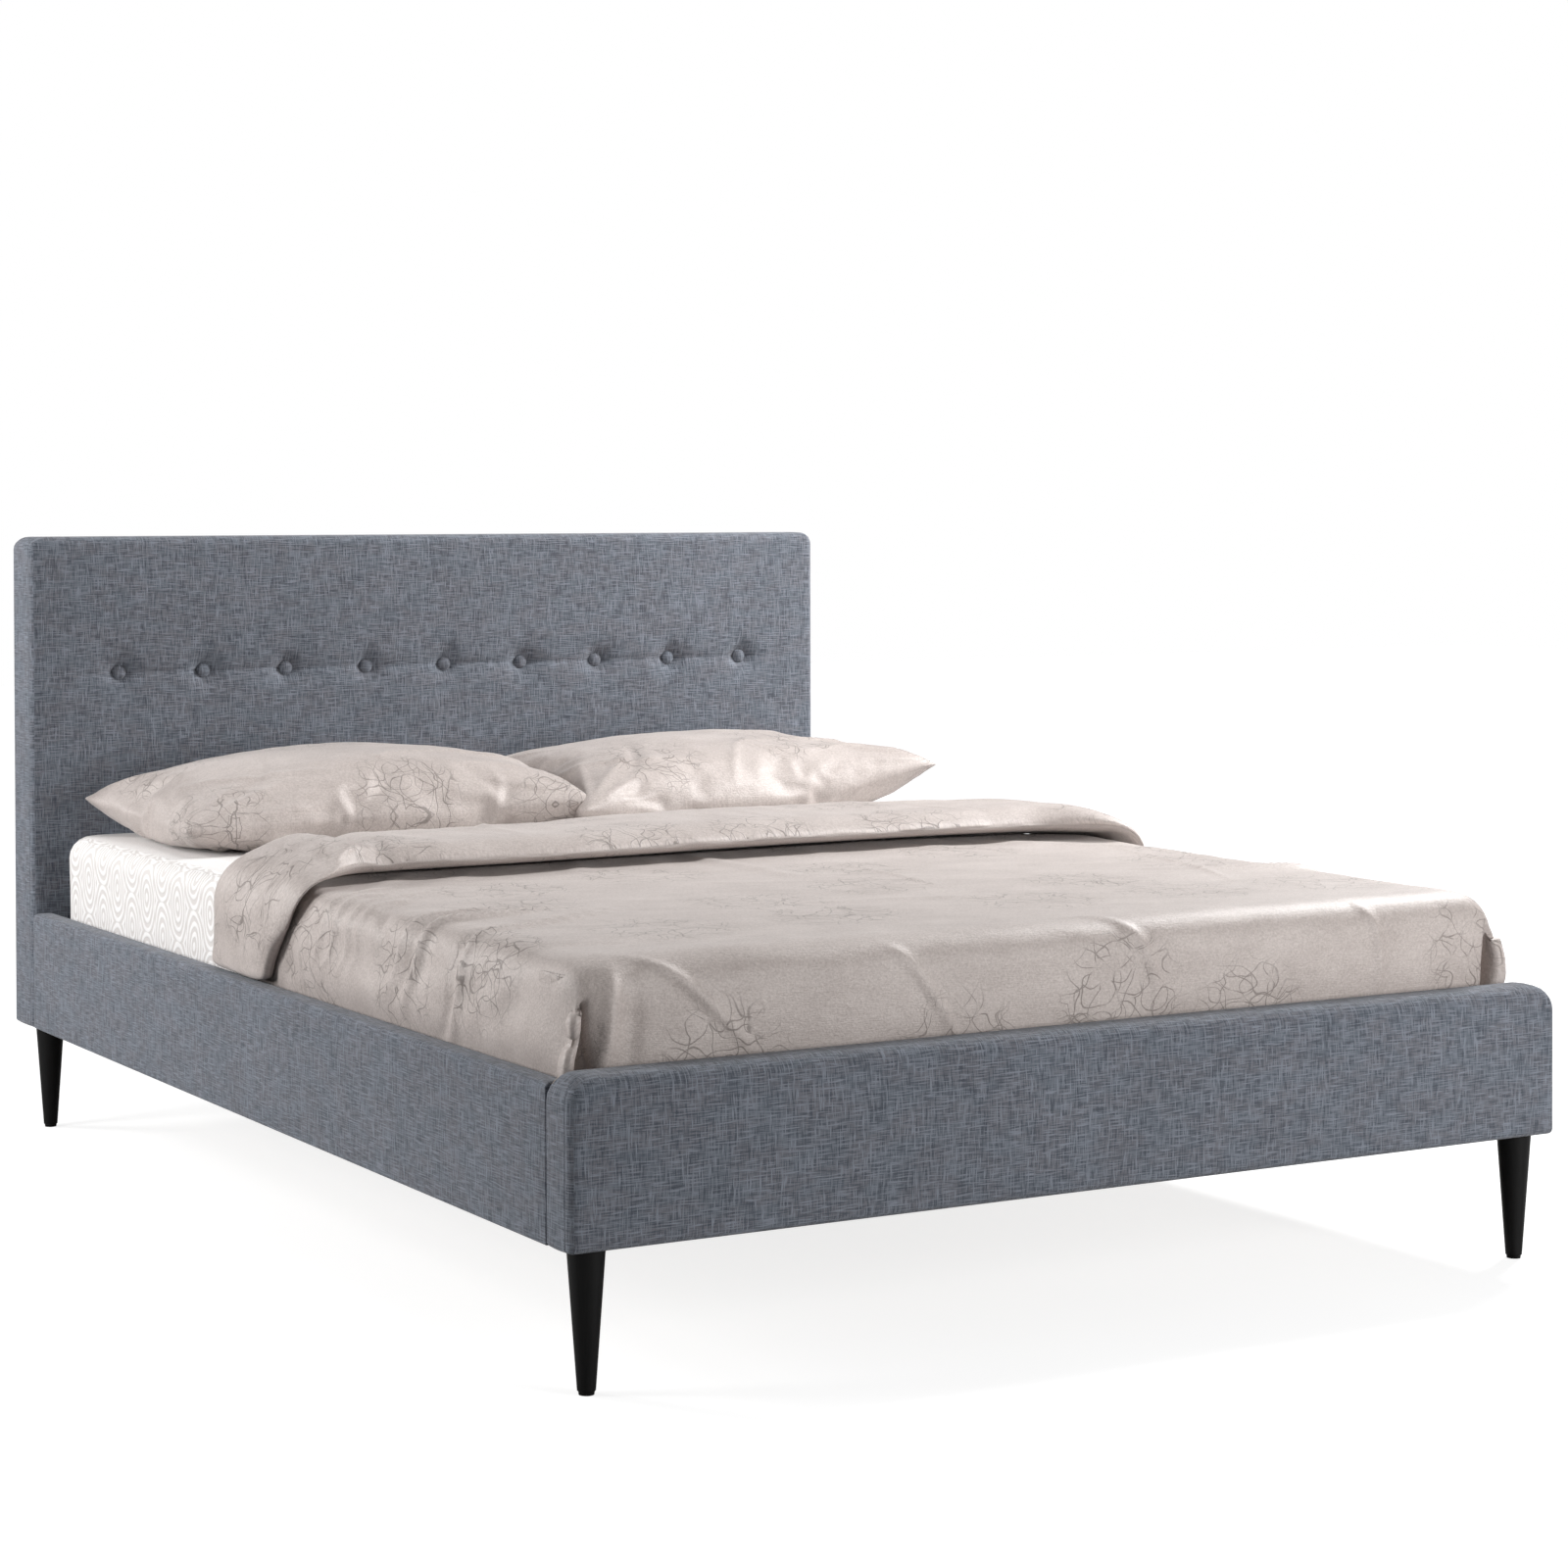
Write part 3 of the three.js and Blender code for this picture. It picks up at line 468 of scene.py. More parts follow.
def padded_box(columns, rows, depth, margin, corner_radii, front_radii, rear_radii, face, place,
               seam=0.0, side_bulge=0.0, back_inset=None, side_steps=8):
    """A padded board as one skin: a front grid, rounded edges, a side strip with a seam, and a back.

    columns and rows are the front grid's places; margin is its distance from the board's edge.
    corner_radii, front_radii and rear_radii are (bottom, side, top). face gives how far each point of the front
    stands proud, and place turns (across, depth, up) into a point. back_inset leaves the back open, with a
    turned-in strip that wide.
    """
    across, up = np.meshgrid(columns, rows)
    across, up = across.ravel(), up.ravel()
    wide, high = len(columns), len(rows)
    points = [np.column_stack([across, -face(across, up), up])]
    faces = []

    def grid_faces(start, turned):
        for j in range(high - 1):
            for i in range(wide - 1):
                a = start + j * wide + i
                quad = (a, a + 1, a + 1 + wide, a + wide)
                faces.append(quad[::-1] if turned else quad)

    grid_faces(0, False)
    lower_radius, _, upper_radius = corner_radii
    edges = [
        (list(range(wide)), (0.0, -1.0)),
        ([j * wide + wide - 1 for j in range(high)], (1.0, 0.0)),
        ([(high - 1) * wide + i for i in reversed(range(wide))], (0.0, 1.0)),
        ([j * wide for j in reversed(range(high))], (-1.0, 0.0)),
    ]
    loop = []
    for index, (members, way) in enumerate(edges):
        loop += [(member, (way[0] * margin, way[1] * margin), way) for member in members]
        radius = lower_radius if index in (0, 3) else upper_radius
        turn = Matrix.Rotation(-math.pi / 2 + index * math.pi / 2, 2)
        for offset, direction in corner_fan(margin, radius, 6):
            offset, direction = turn @ Vector(offset), turn @ Vector(direction)
            loop.append((members[-1], tuple(offset), tuple(direction)))
    base = np.array([entry[0] for entry in loop])
    offset = np.array([entry[1] for entry in loop])
    way = np.array([entry[2] for entry in loop])

    def local(radii):
        bottom, side, top = radii
        return side * way[:, 0] ** 2 + np.where(way[:, 1] < 0, bottom, top) * way[:, 1] ** 2

    front, rear = local(front_radii), local(rear_radii)
    level = np.zeros_like(front)
    stages = [((margin + front) / 2, level), (front, level)]
    limit = np.arccos(np.clip(1 - (depth - rear) / front, 0, 1))
    for step in range(1, 6):
        angle = step / 5 * limit
        stages.append((front * (1 - np.sin(angle)), front * (1 - np.cos(angle))))
    edge, start = stages[-1]
    if seam:
        for shift, inset in ((1.2, 0.0), (2.4, seam), (3.6, 0.0)):
            stages.append((edge + inset, start + shift * MM))
        start = start + 6 * MM
    for step in range(0 if seam else 1, side_steps + 1):
        share = step / side_steps
        stages.append((edge - side_bulge * math.sin(math.pi * share), start + (depth - rear - start) * share))
    for step in range(1, 5):
        angle = step / 4 * math.pi / 2
        stages.append((edge + rear * (1 - math.cos(angle)), depth - rear + rear * math.sin(angle)))
    if back_inset:
        stages.append((np.full_like(front, back_inset), np.full_like(front, depth)))
    count = len(loop)

    def stitch(previous, current):
        for p in range(count):
            q = (p + 1) % count
            corners = [previous[p], current[p], current[q], previous[q]]
            faces.append(tuple(int(c) for c in dict.fromkeys(corners)))

    flat_points = points[0]
    previous = base
    total = len(flat_points)
    for inset, deep in stages:
        factor = ((margin - inset) / margin)[:, None]
        ring = flat_points[base][:, [0, 2]] + offset * factor
        points.append(np.column_stack([ring[:, 0], deep, ring[:, 1]]))
        current = total + np.arange(count)
        total += count
        stitch(previous, current)
        previous = current
    if not back_inset:
        points.append(np.column_stack([across, np.full_like(across, depth), up]))
        grid_faces(total, True)
        stitch(previous, total + base)
    everything = np.concatenate(points)
    return place(everything[:, 0], everything[:, 1], everything[:, 2]), faces


def spaced(low, high, step):
    """Evenly spaced places from low to high, about step apart."""
    return np.linspace(low, high, max(2, round((high - low) / step) + 1))


# ---------------------------------------------------------------- geometry nodes


def geometry_tree(name, inputs):
    """A Geometry Nodes group with a geometry input and named inputs of (label, socket kind, default)."""
    tree = bpy.data.node_groups.new(name, "GeometryNodeTree")
    tree.interface.new_socket("Geometry", in_out="INPUT", socket_type="NodeSocketGeometry")
    for label, kind, value in inputs:
        socket = tree.interface.new_socket(label, in_out="INPUT", socket_type=kind)
        if value is not None:
            socket.default_value = value
    tree.interface.new_socket("Geometry", in_out="OUTPUT", socket_type="NodeSocketGeometry")
    return tree, tree.nodes.new("NodeGroupInput").outputs


def close_tree(tree, instances, material_socket, crease=None):
    """Ends a tree: the instances become real, shaded smooth except at edges past crease, and get their material."""
    real = add_node(tree, "GeometryNodeRealizeInstances", {0: instances})
    shaded = add_node(tree, "GeometryNodeSetShadeSmooth", {0: real})
    if crease:
        angle = add_node(tree, "GeometryNodeInputMeshEdgeAngle")
        sharp = add_node(tree, "FunctionNodeCompare", {0: angle, 1: crease}, operation="GREATER_THAN")
        shaded = add_node(tree, "GeometryNodeSetShadeSmooth", {0: shaded, 1: sharp, 2: False}, domain="EDGE")
    painted = add_node(tree, "GeometryNodeSetMaterial", {0: shaded, "Material": material_socket})
    add_node(tree, "NodeGroupOutput", {0: painted})


def grow(name, base, tree, values):
    """Runs a tree on a base mesh and keeps the result as a plain mesh object."""
    host = add_object(name + "_host", base)
    modifier = host.modifiers.new("Nodes", "NODES")
    modifier.node_group = tree
    for item in tree.interface.items_tree:
        if item.in_out == "INPUT" and item.name in values:
            modifier[item.identifier] = values[item.name]
    evaluated = host.evaluated_get(bpy.context.evaluated_depsgraph_get())
    mesh = bpy.data.meshes.new_from_object(evaluated)
    bpy.data.objects.remove(host)
    mesh.name = name
    if not mesh.uv_layers:
        project_weave(mesh)
    return add_object(name, mesh)


def point_mesh(name, places, facing=None):
    """A mesh of loose points, with the way that each one faces."""
    mesh = bpy.data.meshes.new(name)
    mesh.from_pydata([tuple(p) for p in places], [], [])
    if facing is not None:
        attribute = mesh.attributes.new("facing", "FLOAT_VECTOR", "POINT")
        attribute.data.foreach_set("vector", np.asarray(facing, np.float32).ravel())
    return mesh


def path_mesh(name, places, closed=False):
    """A mesh of edges through the given places."""
    mesh = bpy.data.meshes.new(name)
    count = len(places)
    edges = [(i, (i + 1) % count) for i in range(count if closed else count - 1)]
    mesh.from_pydata([tuple(p) for p in places], edges, [])
    return mesh


def buttons_tree():
    """A row of covered buttons: each is a domed disc whose edge rolls under."""
    tree, given = geometry_tree("Covered Buttons", [
        ("Radius", "NodeSocketFloat", 0.0135), ("Thickness", "NodeSocketFloat", 0.011),
        ("Count", "NodeSocketInt", 9), ("Pitch", "NodeSocketFloat", 0.161),
        ("Material", "NodeSocketMaterial", None)])
    gaps = add_node(tree, MATHS, {0: given["Count"], 1: 1.0}, operation="SUBTRACT")
    half = add_node(tree, MATHS, {0: gaps, 1: -0.5}, operation="MULTIPLY")
    start = add_node(tree, MATHS, {0: given["Pitch"], 1: half}, operation="MULTIPLY")
    row = add_node(tree, "GeometryNodeMeshLine", {
        "Count": given["Count"], "Start Location": add_node(tree, VECTOR, {0: start}),
        "Offset": add_node(tree, VECTOR, {0: given["Pitch"]})}, mode="OFFSET")
    origin = add_node(tree, "GeometryNodeInputPosition")
    anchor = add_node(tree, "GeometryNodeSampleIndex", {0: given["Geometry"], "Value": origin, "Index": 0},
                      data_type="FLOAT_VECTOR")
    placed = add_node(tree, "GeometryNodeSetPosition", {0: row, "Offset": anchor})
    dome = add_node(tree, "GeometryNodeMeshUVSphere", {"Segments": 32, "Rings": 16, "Radius": given["Radius"]})
    width = add_node(tree, MATHS, {0: given["Radius"], 1: 2.0}, operation="MULTIPLY")
    flatness = add_node(tree, MATHS, {0: given["Thickness"], 1: width}, operation="DIVIDE")
    button = add_node(tree, "GeometryNodeTransform", {
        0: dome, "Scale": add_node(tree, VECTOR, {0: 1.0, 1: 1.0, 2: flatness}), "Rotation": (math.pi / 2, 0.0, 0.0)})
    made = add_node(tree, "GeometryNodeInstanceOnPoints", {0: placed, "Instance": button})
    close_tree(tree, made, given["Material"])
    return tree


def legs_tree():
    """Turned legs on points: a long taper, a chamfered foot and a felt glide under it."""
    tree, given = geometry_tree("Turned Legs", [
        ("Length", "NodeSocketFloat", 0.185), ("Top Radius", "NodeSocketFloat", 0.025),
        ("Foot Radius", "NodeSocketFloat", 0.012), ("Glide", "NodeSocketFloat", 0.004),
        ("Material", "NodeSocketMaterial", None)])
    chamfer = 1.5 * MM
    cone = "GeometryNodeMeshCone"
    foot, glide = given["Foot Radius"], given["Glide"]
    body = add_node(tree, MATHS, {0: given["Length"], 1: glide}, operation="SUBTRACT")
    shank_length = add_node(tree, MATHS, {0: body, 1: chamfer}, operation="SUBTRACT")
    shank_foot = add_node(tree, MATHS, {0: glide, 1: chamfer}, operation="ADD")
    tip_radius = add_node(tree, MATHS, {0: foot, 1: chamfer}, operation="SUBTRACT")
    glide_radius = add_node(tree, MATHS, {0: tip_radius, 1: 0.5 * MM}, operation="SUBTRACT")
    whole = add_node(tree, "GeometryNodeJoinGeometry")
    for sizes, height in (
        ({"Side Segments": 12, "Radius Top": given["Top Radius"], "Radius Bottom": foot, "Depth": shank_length},
         shank_foot),
        ({"Radius Top": foot, "Radius Bottom": tip_radius, "Depth": chamfer}, glide),
        ({"Radius Top": tip_radius, "Radius Bottom": glide_radius, "Depth": glide}, 0.0),
    ):
        turned = add_node(tree, cone, {"Vertices": 64, **sizes})
        lifted = add_node(tree, "GeometryNodeTransform", {
            0: turned, "Translation": add_node(tree, VECTOR, {2: height})})
        tree.links.new(lifted.outputs[0], whole.inputs[0])
    made = add_node(tree, "GeometryNodeInstanceOnPoints", {0: given["Geometry"], "Instance": whole})
    close_tree(tree, made, given["Material"], crease=math.radians(35))
    return tree


def along_path_tree():
    """Small bars, such as stitches or staples, spaced along a path and turned to follow it."""
    tree, given = geometry_tree("Bars Along Path", [
        ("Spacing", "NodeSocketFloat", 0.0036), ("Length", "NodeSocketFloat", 0.0028),
        ("Width", "NodeSocketFloat", 0.0006), ("Material", "NodeSocketMaterial", None)])
    curve = add_node(tree, "GeometryNodeMeshToCurve", {0: given["Geometry"]})
    places = add_node(tree, "GeometryNodeResampleCurve", {0: curve, "Length": given["Spacing"]}, mode="LENGTH")
    tangent = add_node(tree, "GeometryNodeInputTangent")
    turned = add_node(tree, "FunctionNodeAlignRotationToVector", {"Vector": tangent}, axis="X")
    bar = add_node(tree, "GeometryNodeMeshUVSphere", {"Segments": 6, "Rings": 4, "Radius": 0.5})
    size = add_node(tree, VECTOR, {0: given["Length"], 1: given["Width"], 2: given["Width"]})
    shaped = add_node(tree, "GeometryNodeTransform", {0: bar, "Scale": size})
    made = add_node(tree, "GeometryNodeInstanceOnPoints", {0: places, "Instance": shaped, "Rotation": turned})
    close_tree(tree, made, given["Material"])
    return tree


def heads_tree():
    """Fastener heads on points: a low dome with a hexagon recess, turned to face the way its point does."""
    tree, given = geometry_tree("Fastener Heads", [
        ("Radius", "NodeSocketFloat", 0.0055), ("Height", "NodeSocketFloat", 0.003),
        ("Material", "NodeSocketMaterial", None)])
    crown, recess_top, recess_foot = (
        add_node(tree, MATHS, {0: given["Radius"], 1: share}, operation="MULTIPLY") for share in (0.62, 0.4, 0.3))
    recess_depth, recess_middle = (
        add_node(tree, MATHS, {0: given["Height"], 1: share}, operation="MULTIPLY") for share in (0.7, 0.5))
    rim = add_node(tree, "GeometryNodeMeshCone", {
        "Vertices": 24, "Radius Top": crown, "Radius Bottom": given["Radius"], "Depth": given["Height"]})
    recess = add_node(tree, "GeometryNodeMeshCone", {
        "Vertices": 6, "Radius Top": recess_top, "Radius Bottom": recess_foot, "Depth": recess_depth})
    hole = add_node(tree, "GeometryNodeTransform", {
        0: recess, "Translation": add_node(tree, VECTOR, {2: recess_middle})})
    head = add_node(tree, "GeometryNodeMeshBoolean", {"Mesh 1": rim, "Mesh 2": hole}, operation="DIFFERENCE",
                    solver="EXACT")
    facing = add_node(tree, "GeometryNodeInputNamedAttribute", {"Name": "facing"}, data_type="FLOAT_VECTOR")
    turned = add_node(tree, "FunctionNodeAlignRotationToVector", {"Vector": facing}, axis="Z")
    made = add_node(tree, "GeometryNodeInstanceOnPoints", {
        0: given["Geometry"], "Instance": head, "Rotation": turned})
    real = add_node(tree, "GeometryNodeRealizeInstances", {0: made})
    painted = add_node(tree, "GeometryNodeSetMaterial", {0: real, "Material": given["Material"]})
    add_node(tree, "NodeGroupOutput", {0: painted})
    return tree


# ---------------------------------------------------------------- cloth simulation


def simulate(piece, frames, gravity=0.0, pressure=0.0, volume=None, growth=0.0, bending=0.5, stiffness=15.0,
             pinned=None, colliders=(), cap=None, mass=0.3):
    """Runs cloth on a piece and writes where the cloth comes to rest into its mesh.

    growth makes the cloth that share larger than its mesh, so that it wrinkles. cap limits how far a point may move.
    """
    start = coordinates(piece.data)
    cloth = piece.modifiers.new("Cloth", "CLOTH")
    settings = cloth.settings
    settings.quality = 6
    settings.mass = mass
    settings.air_damping = 2.0
    settings.tension_stiffness = settings.compression_stiffness = settings.shear_stiffness = stiffness
    settings.bending_stiffness = bending
    settings.shrink_min = -growth
    settings.effector_weights.gravity = gravity
    if pressure:
        settings.use_pressure = True
        settings.uniform_pressure_force = pressure
        if volume:
            settings.use_pressure_volume = True
            settings.target_volume = volume
    if pinned is not None:
        group = piece.vertex_groups.new(name="pinned")
        group.add([int(i) for i in np.flatnonzero(pinned)], 1.0, "REPLACE")
        settings.vertex_group_mass = "pinned"
    cloth.collision_settings.use_collision = bool(colliders)
    cloth.collision_settings.distance_min = 3 * MM
    cloth.point_cache.frame_start = 1
    cloth.point_cache.frame_end = frames
    for collider in colliders:
        collider.modifiers.new("Collision", "COLLISION")
        collider.collision.thickness_outer = 2 * MM
        collider.collision.cloth_friction = 8.0
    scene = bpy.context.scene
    for number in range(1, frames + 1):
        scene.frame_set(number)
    evaluated = piece.evaluated_get(bpy.context.evaluated_depsgraph_get())
    rested = coordinates(evaluated.data)
    for collider in colliders:
        collider.modifiers.remove(collider.modifiers["Collision"])
    piece.modifiers.remove(cloth)
    if pinned is not None:
        piece.vertex_groups.clear()
    scene.frame_set(1)
    step = rested - start
    if cap:
        length = np.linalg.norm(step, axis=1, keepdims=True)
        step = step * np.minimum(1.0, cap / np.maximum(length, 1e-9))
    move_vertices(piece.data, start + step)
    return start


def box_collider(name, low, high):
    """A plain closed box for cloth to rest on. It is removed once the cloth lies still."""
    mesh = bpy.data.meshes.new(name)
    maker = bmesh.new()
    bmesh.ops.create_cube(maker, size=1.0)
    for vertex in maker.verts:
        vertex.co = Vector([low[k] + (vertex.co[k] + 0.5) * (high[k] - low[k]) for k in range(3)])
    maker.to_mesh(mesh)
    maker.free()
    return add_object(name, mesh)


def round_edges(piece, radius):
    """Rounds every edge of a support, so that cloth bends over it softly."""
    shape = bmesh.new()
    shape.from_mesh(piece.data)
    bmesh.ops.bevel(shape, geom=list(shape.edges), offset=radius, segments=5, profile=0.5, affect="EDGES")
    shape.to_mesh(piece.data)
    shape.free()


def refine(piece):
    """Smooths and quarters a piece's faces for good, so that fine creases can be shaped into it."""
    subdivide(piece)
    evaluated = piece.evaluated_get(bpy.context.evaluated_depsgraph_get())
    mesh = bpy.data.meshes.new_from_object(evaluated)
    piece.modifiers.clear()
    piece.data = mesh


def flat_places(mesh):
    """Each vertex's place on the unrolled cloth, from the weave map."""
    flat = np.zeros((len(mesh.vertices), 2))
    flat[read(mesh.loops, "vertex_index", kind=np.int64)] = read(mesh.uv_layers["weave"].data, "uv", 2)
    return flat


def displace(piece, lift):
    """Moves each vertex outwards by its own distance."""
    move_vertices(piece.data, coordinates(piece.data) + vertex_normals(piece.data) * lift[:, None])


def crease_lift(flat, creases):
    """Soft ridges, or troughs where the height is negative, that fade out at both ends.

    Each crease is (start, a point that it passes, end, height, width): places in metres on the unrolled cloth, and
    the last two in millimetres.
    """
    lift = np.zeros(len(flat))
    share = np.linspace(0, 1, 25)[:, None]
    for start, passed, end, height, width in creases:
        height, width = height * MM, width * MM
        start, passed, end = np.array(start), np.array(passed), np.array(end)
        handle = 2 * passed - (start + end) / 2
        curve = (1 - share) ** 2 * start + 2 * share * (1 - share) * handle + share ** 2 * end
        low, high = curve.min(0) - 3 * width, curve.max(0) + 3 * width
        near = np.flatnonzero(np.all((flat > low) & (flat < high), axis=1))
        if not len(near):
            continue
        gaps = np.linalg.norm(flat[near][:, None, :] - curve[None, :, :], axis=2)
        nearest = gaps.argmin(1)
        fade = np.sin(math.pi * np.clip(nearest / 24, 0.03, 0.97)) ** 0.6
        lift[near] += height * fade * np.exp(-((gaps.min(1) / width) ** 2))
    return lift


# ---------------------------------------------------------------- settings


def colour_setting(name, description, code):
    """A colour that a user may change, as an sRGB hex code."""
    return bpy.props.StringProperty(name=name, description=description, default=code)


def length_setting(name, description, metres):
    """A length that a user may change."""
    return bpy.props.FloatProperty(name=name, description=description, default=metres, unit="LENGTH")


def power_setting(name, description, watts):
    """The power of a light, which a user may change."""
    return bpy.props.FloatProperty(name=name, description=description, default=watts, unit="POWER")


class UpholsterySettings(bpy.types.PropertyGroup):
    """The upholstered boards and rails."""

    main_yarn: colour_setting("Main yarn", "Colour of most yarns", "#676d76")
    dark_yarn: colour_setting("Dark yarn", "Colour of dark yarns", "#4a4f58")
    light_yarn: colour_setting("Light yarn", "Colour of light yarns", "#7e838d")
    warm_yarn: colour_setting("Warm yarn", "Colour of the warmer patches", "#696a71")
    dust_cloth: colour_setting("Dust cloth", "Back cloth colour", "#161617")
    dust_cloth_light: colour_setting("Dust cloth highlight", "Back cloth's bonded points", "#2b2b2d")
    slub_length: length_setting("Slub length", "Length of a thick place in a yarn", 0.027)
    yarn_width: length_setting("Yarn width", "Drawn width of a yarn", 0.0019)
    crown: length_setting("Crown", "How far a padded face stands proud in its middle", 0.003)
    seam_depth: length_setting("Seam depth", "Depth of the seam beside a side strip", 0.0024)
    dimple_depth: length_setting("Dimple depth", "How deep a button pulls the face in", 0.0170)
    button_radius: length_setting("Button radius", "Radius of a covered button", 0.0135)
    cover_thickness: length_setting("Cover thickness", "Fabric with its lining", 0.002)


class BeddingSettings(bpy.types.PropertyGroup):
    """The mattress, the duvet and the pillows."""

    fabric_light: colour_setting("Fabric", "Lighter fabric tone", "#cbc1bc")
    fabric_shade: colour_setting("Fabric shade", "Darker fabric tone", "#a99e99")
    thread: colour_setting("Thread", "Embroidery thread colour", "#5c534d")
    thread_contrast: bpy.props.FloatProperty(name="Thread contrast", description="How strongly the thread shows",
                                             default=0.6, min=0.0, max=1.0)
    thread_width: length_setting("Thread width", "Drawn width of the embroidery thread", 0.00105)
    motif_spacing: length_setting("Motif spacing", "Distance between scribble motifs", 0.30)
    motif_radius: length_setting("Motif radius", "Radius of a scribble motif", 0.125)
    ticking: colour_setting("Ticking", "Mattress fabric colour", "#f6f4f3")
    # The darker knit tone, and the painted shade in the valleys between the embossed rings
    ticking_tone_and_valley_shade: colour_setting("Ticking shade", "Mattress fabric in its recesses", "#d9d4d1")
    oval_width: length_setting("Oval width", "Width of an embossed oval", 0.074)
    oval_height: length_setting("Oval height", "Height of an embossed oval", 0.115)
    duvet_thickness: length_setting("Duvet thickness", "Thickness of one layer", 0.009)
    cuff_thickness: length_setting("Cuff thickness", "Thickness of the turned-back end", 0.044)
    pillow_width: length_setting("Pillow width", "Flat width of a pillow case", 0.79)
    pillow_depth: length_setting("Pillow depth", "Flat depth of a pillow case", 0.52)


class TimberSettings(bpy.types.PropertyGroup):
    """The timber, the legs and the metalwork."""

    pine: colour_setting("Pine", "Light grain colour", "#d8b887")
    pine_dark: colour_setting("Pine grain", "Dark grain colour", "#b98f5c")
    lacquer: colour_setting("Lacquer", "Leg colour", "#0c0c0c")
    lacquer_light: colour_setting("Lacquer grain", "Leg grain colour", "#131212")
    steel_coat: colour_setting("Steel coat", "Bracket colour", "#1d1d20")
    plastic: colour_setting("Plastic", "Levelling foot colour", "#18181a")
    screw_radius: length_setting("Screw head radius", "Radius of the fastener heads", 0.0055)


class StageSettings(bpy.types.PropertyGroup):
    """The floor, the lights and the camera."""

    floor: colour_setting("Floor", "Floor colour", "#a8a8a8")
    key_power: power_setting("Key light", "Power of the key softbox", 126.0)
    top_power: power_setting("Top light", "Power of the overhead softbox", 20.0)
    fill_power: power_setting("Fill light", "Power of the left softbox", 104.0)
    rim_power: power_setting("Rim light", "Power of the softbox behind the left side", 76.0)
    front_power: power_setting("Front light", "Power of the softbox before the foot end", 68.0)
    distant_power: power_setting("Distant light", "Power of the softbox further off", 18.0)
    sky: bpy.props.FloatProperty(name="Sky", description="Strength of the even light from all round", default=0.12)


SETTINGS = {
    "bed_upholstery": UpholsterySettings,
    "bed_bedding": BeddingSettings,
    "bed_timber": TimberSettings,
    "bed_stage": StageSettings,
}


def linen(scene):
    """The upholstery material."""
    return material("linen_look_weave", linen_weave, "weave", scene.bed_upholstery)


def cut_foam():
    """The padding's material."""
    return material("cut_foam", rough_stock, "#e9dfc0", "#cfc39c", (2.2 * MM,) * 3, 0.6 * MM, 0.95)


def lacquer(scene):
    """The legs' material."""
    return material("satin_black_lacquer", satin_lacquer, scene.bed_timber)


# ---------------------------------------------------------------- operators


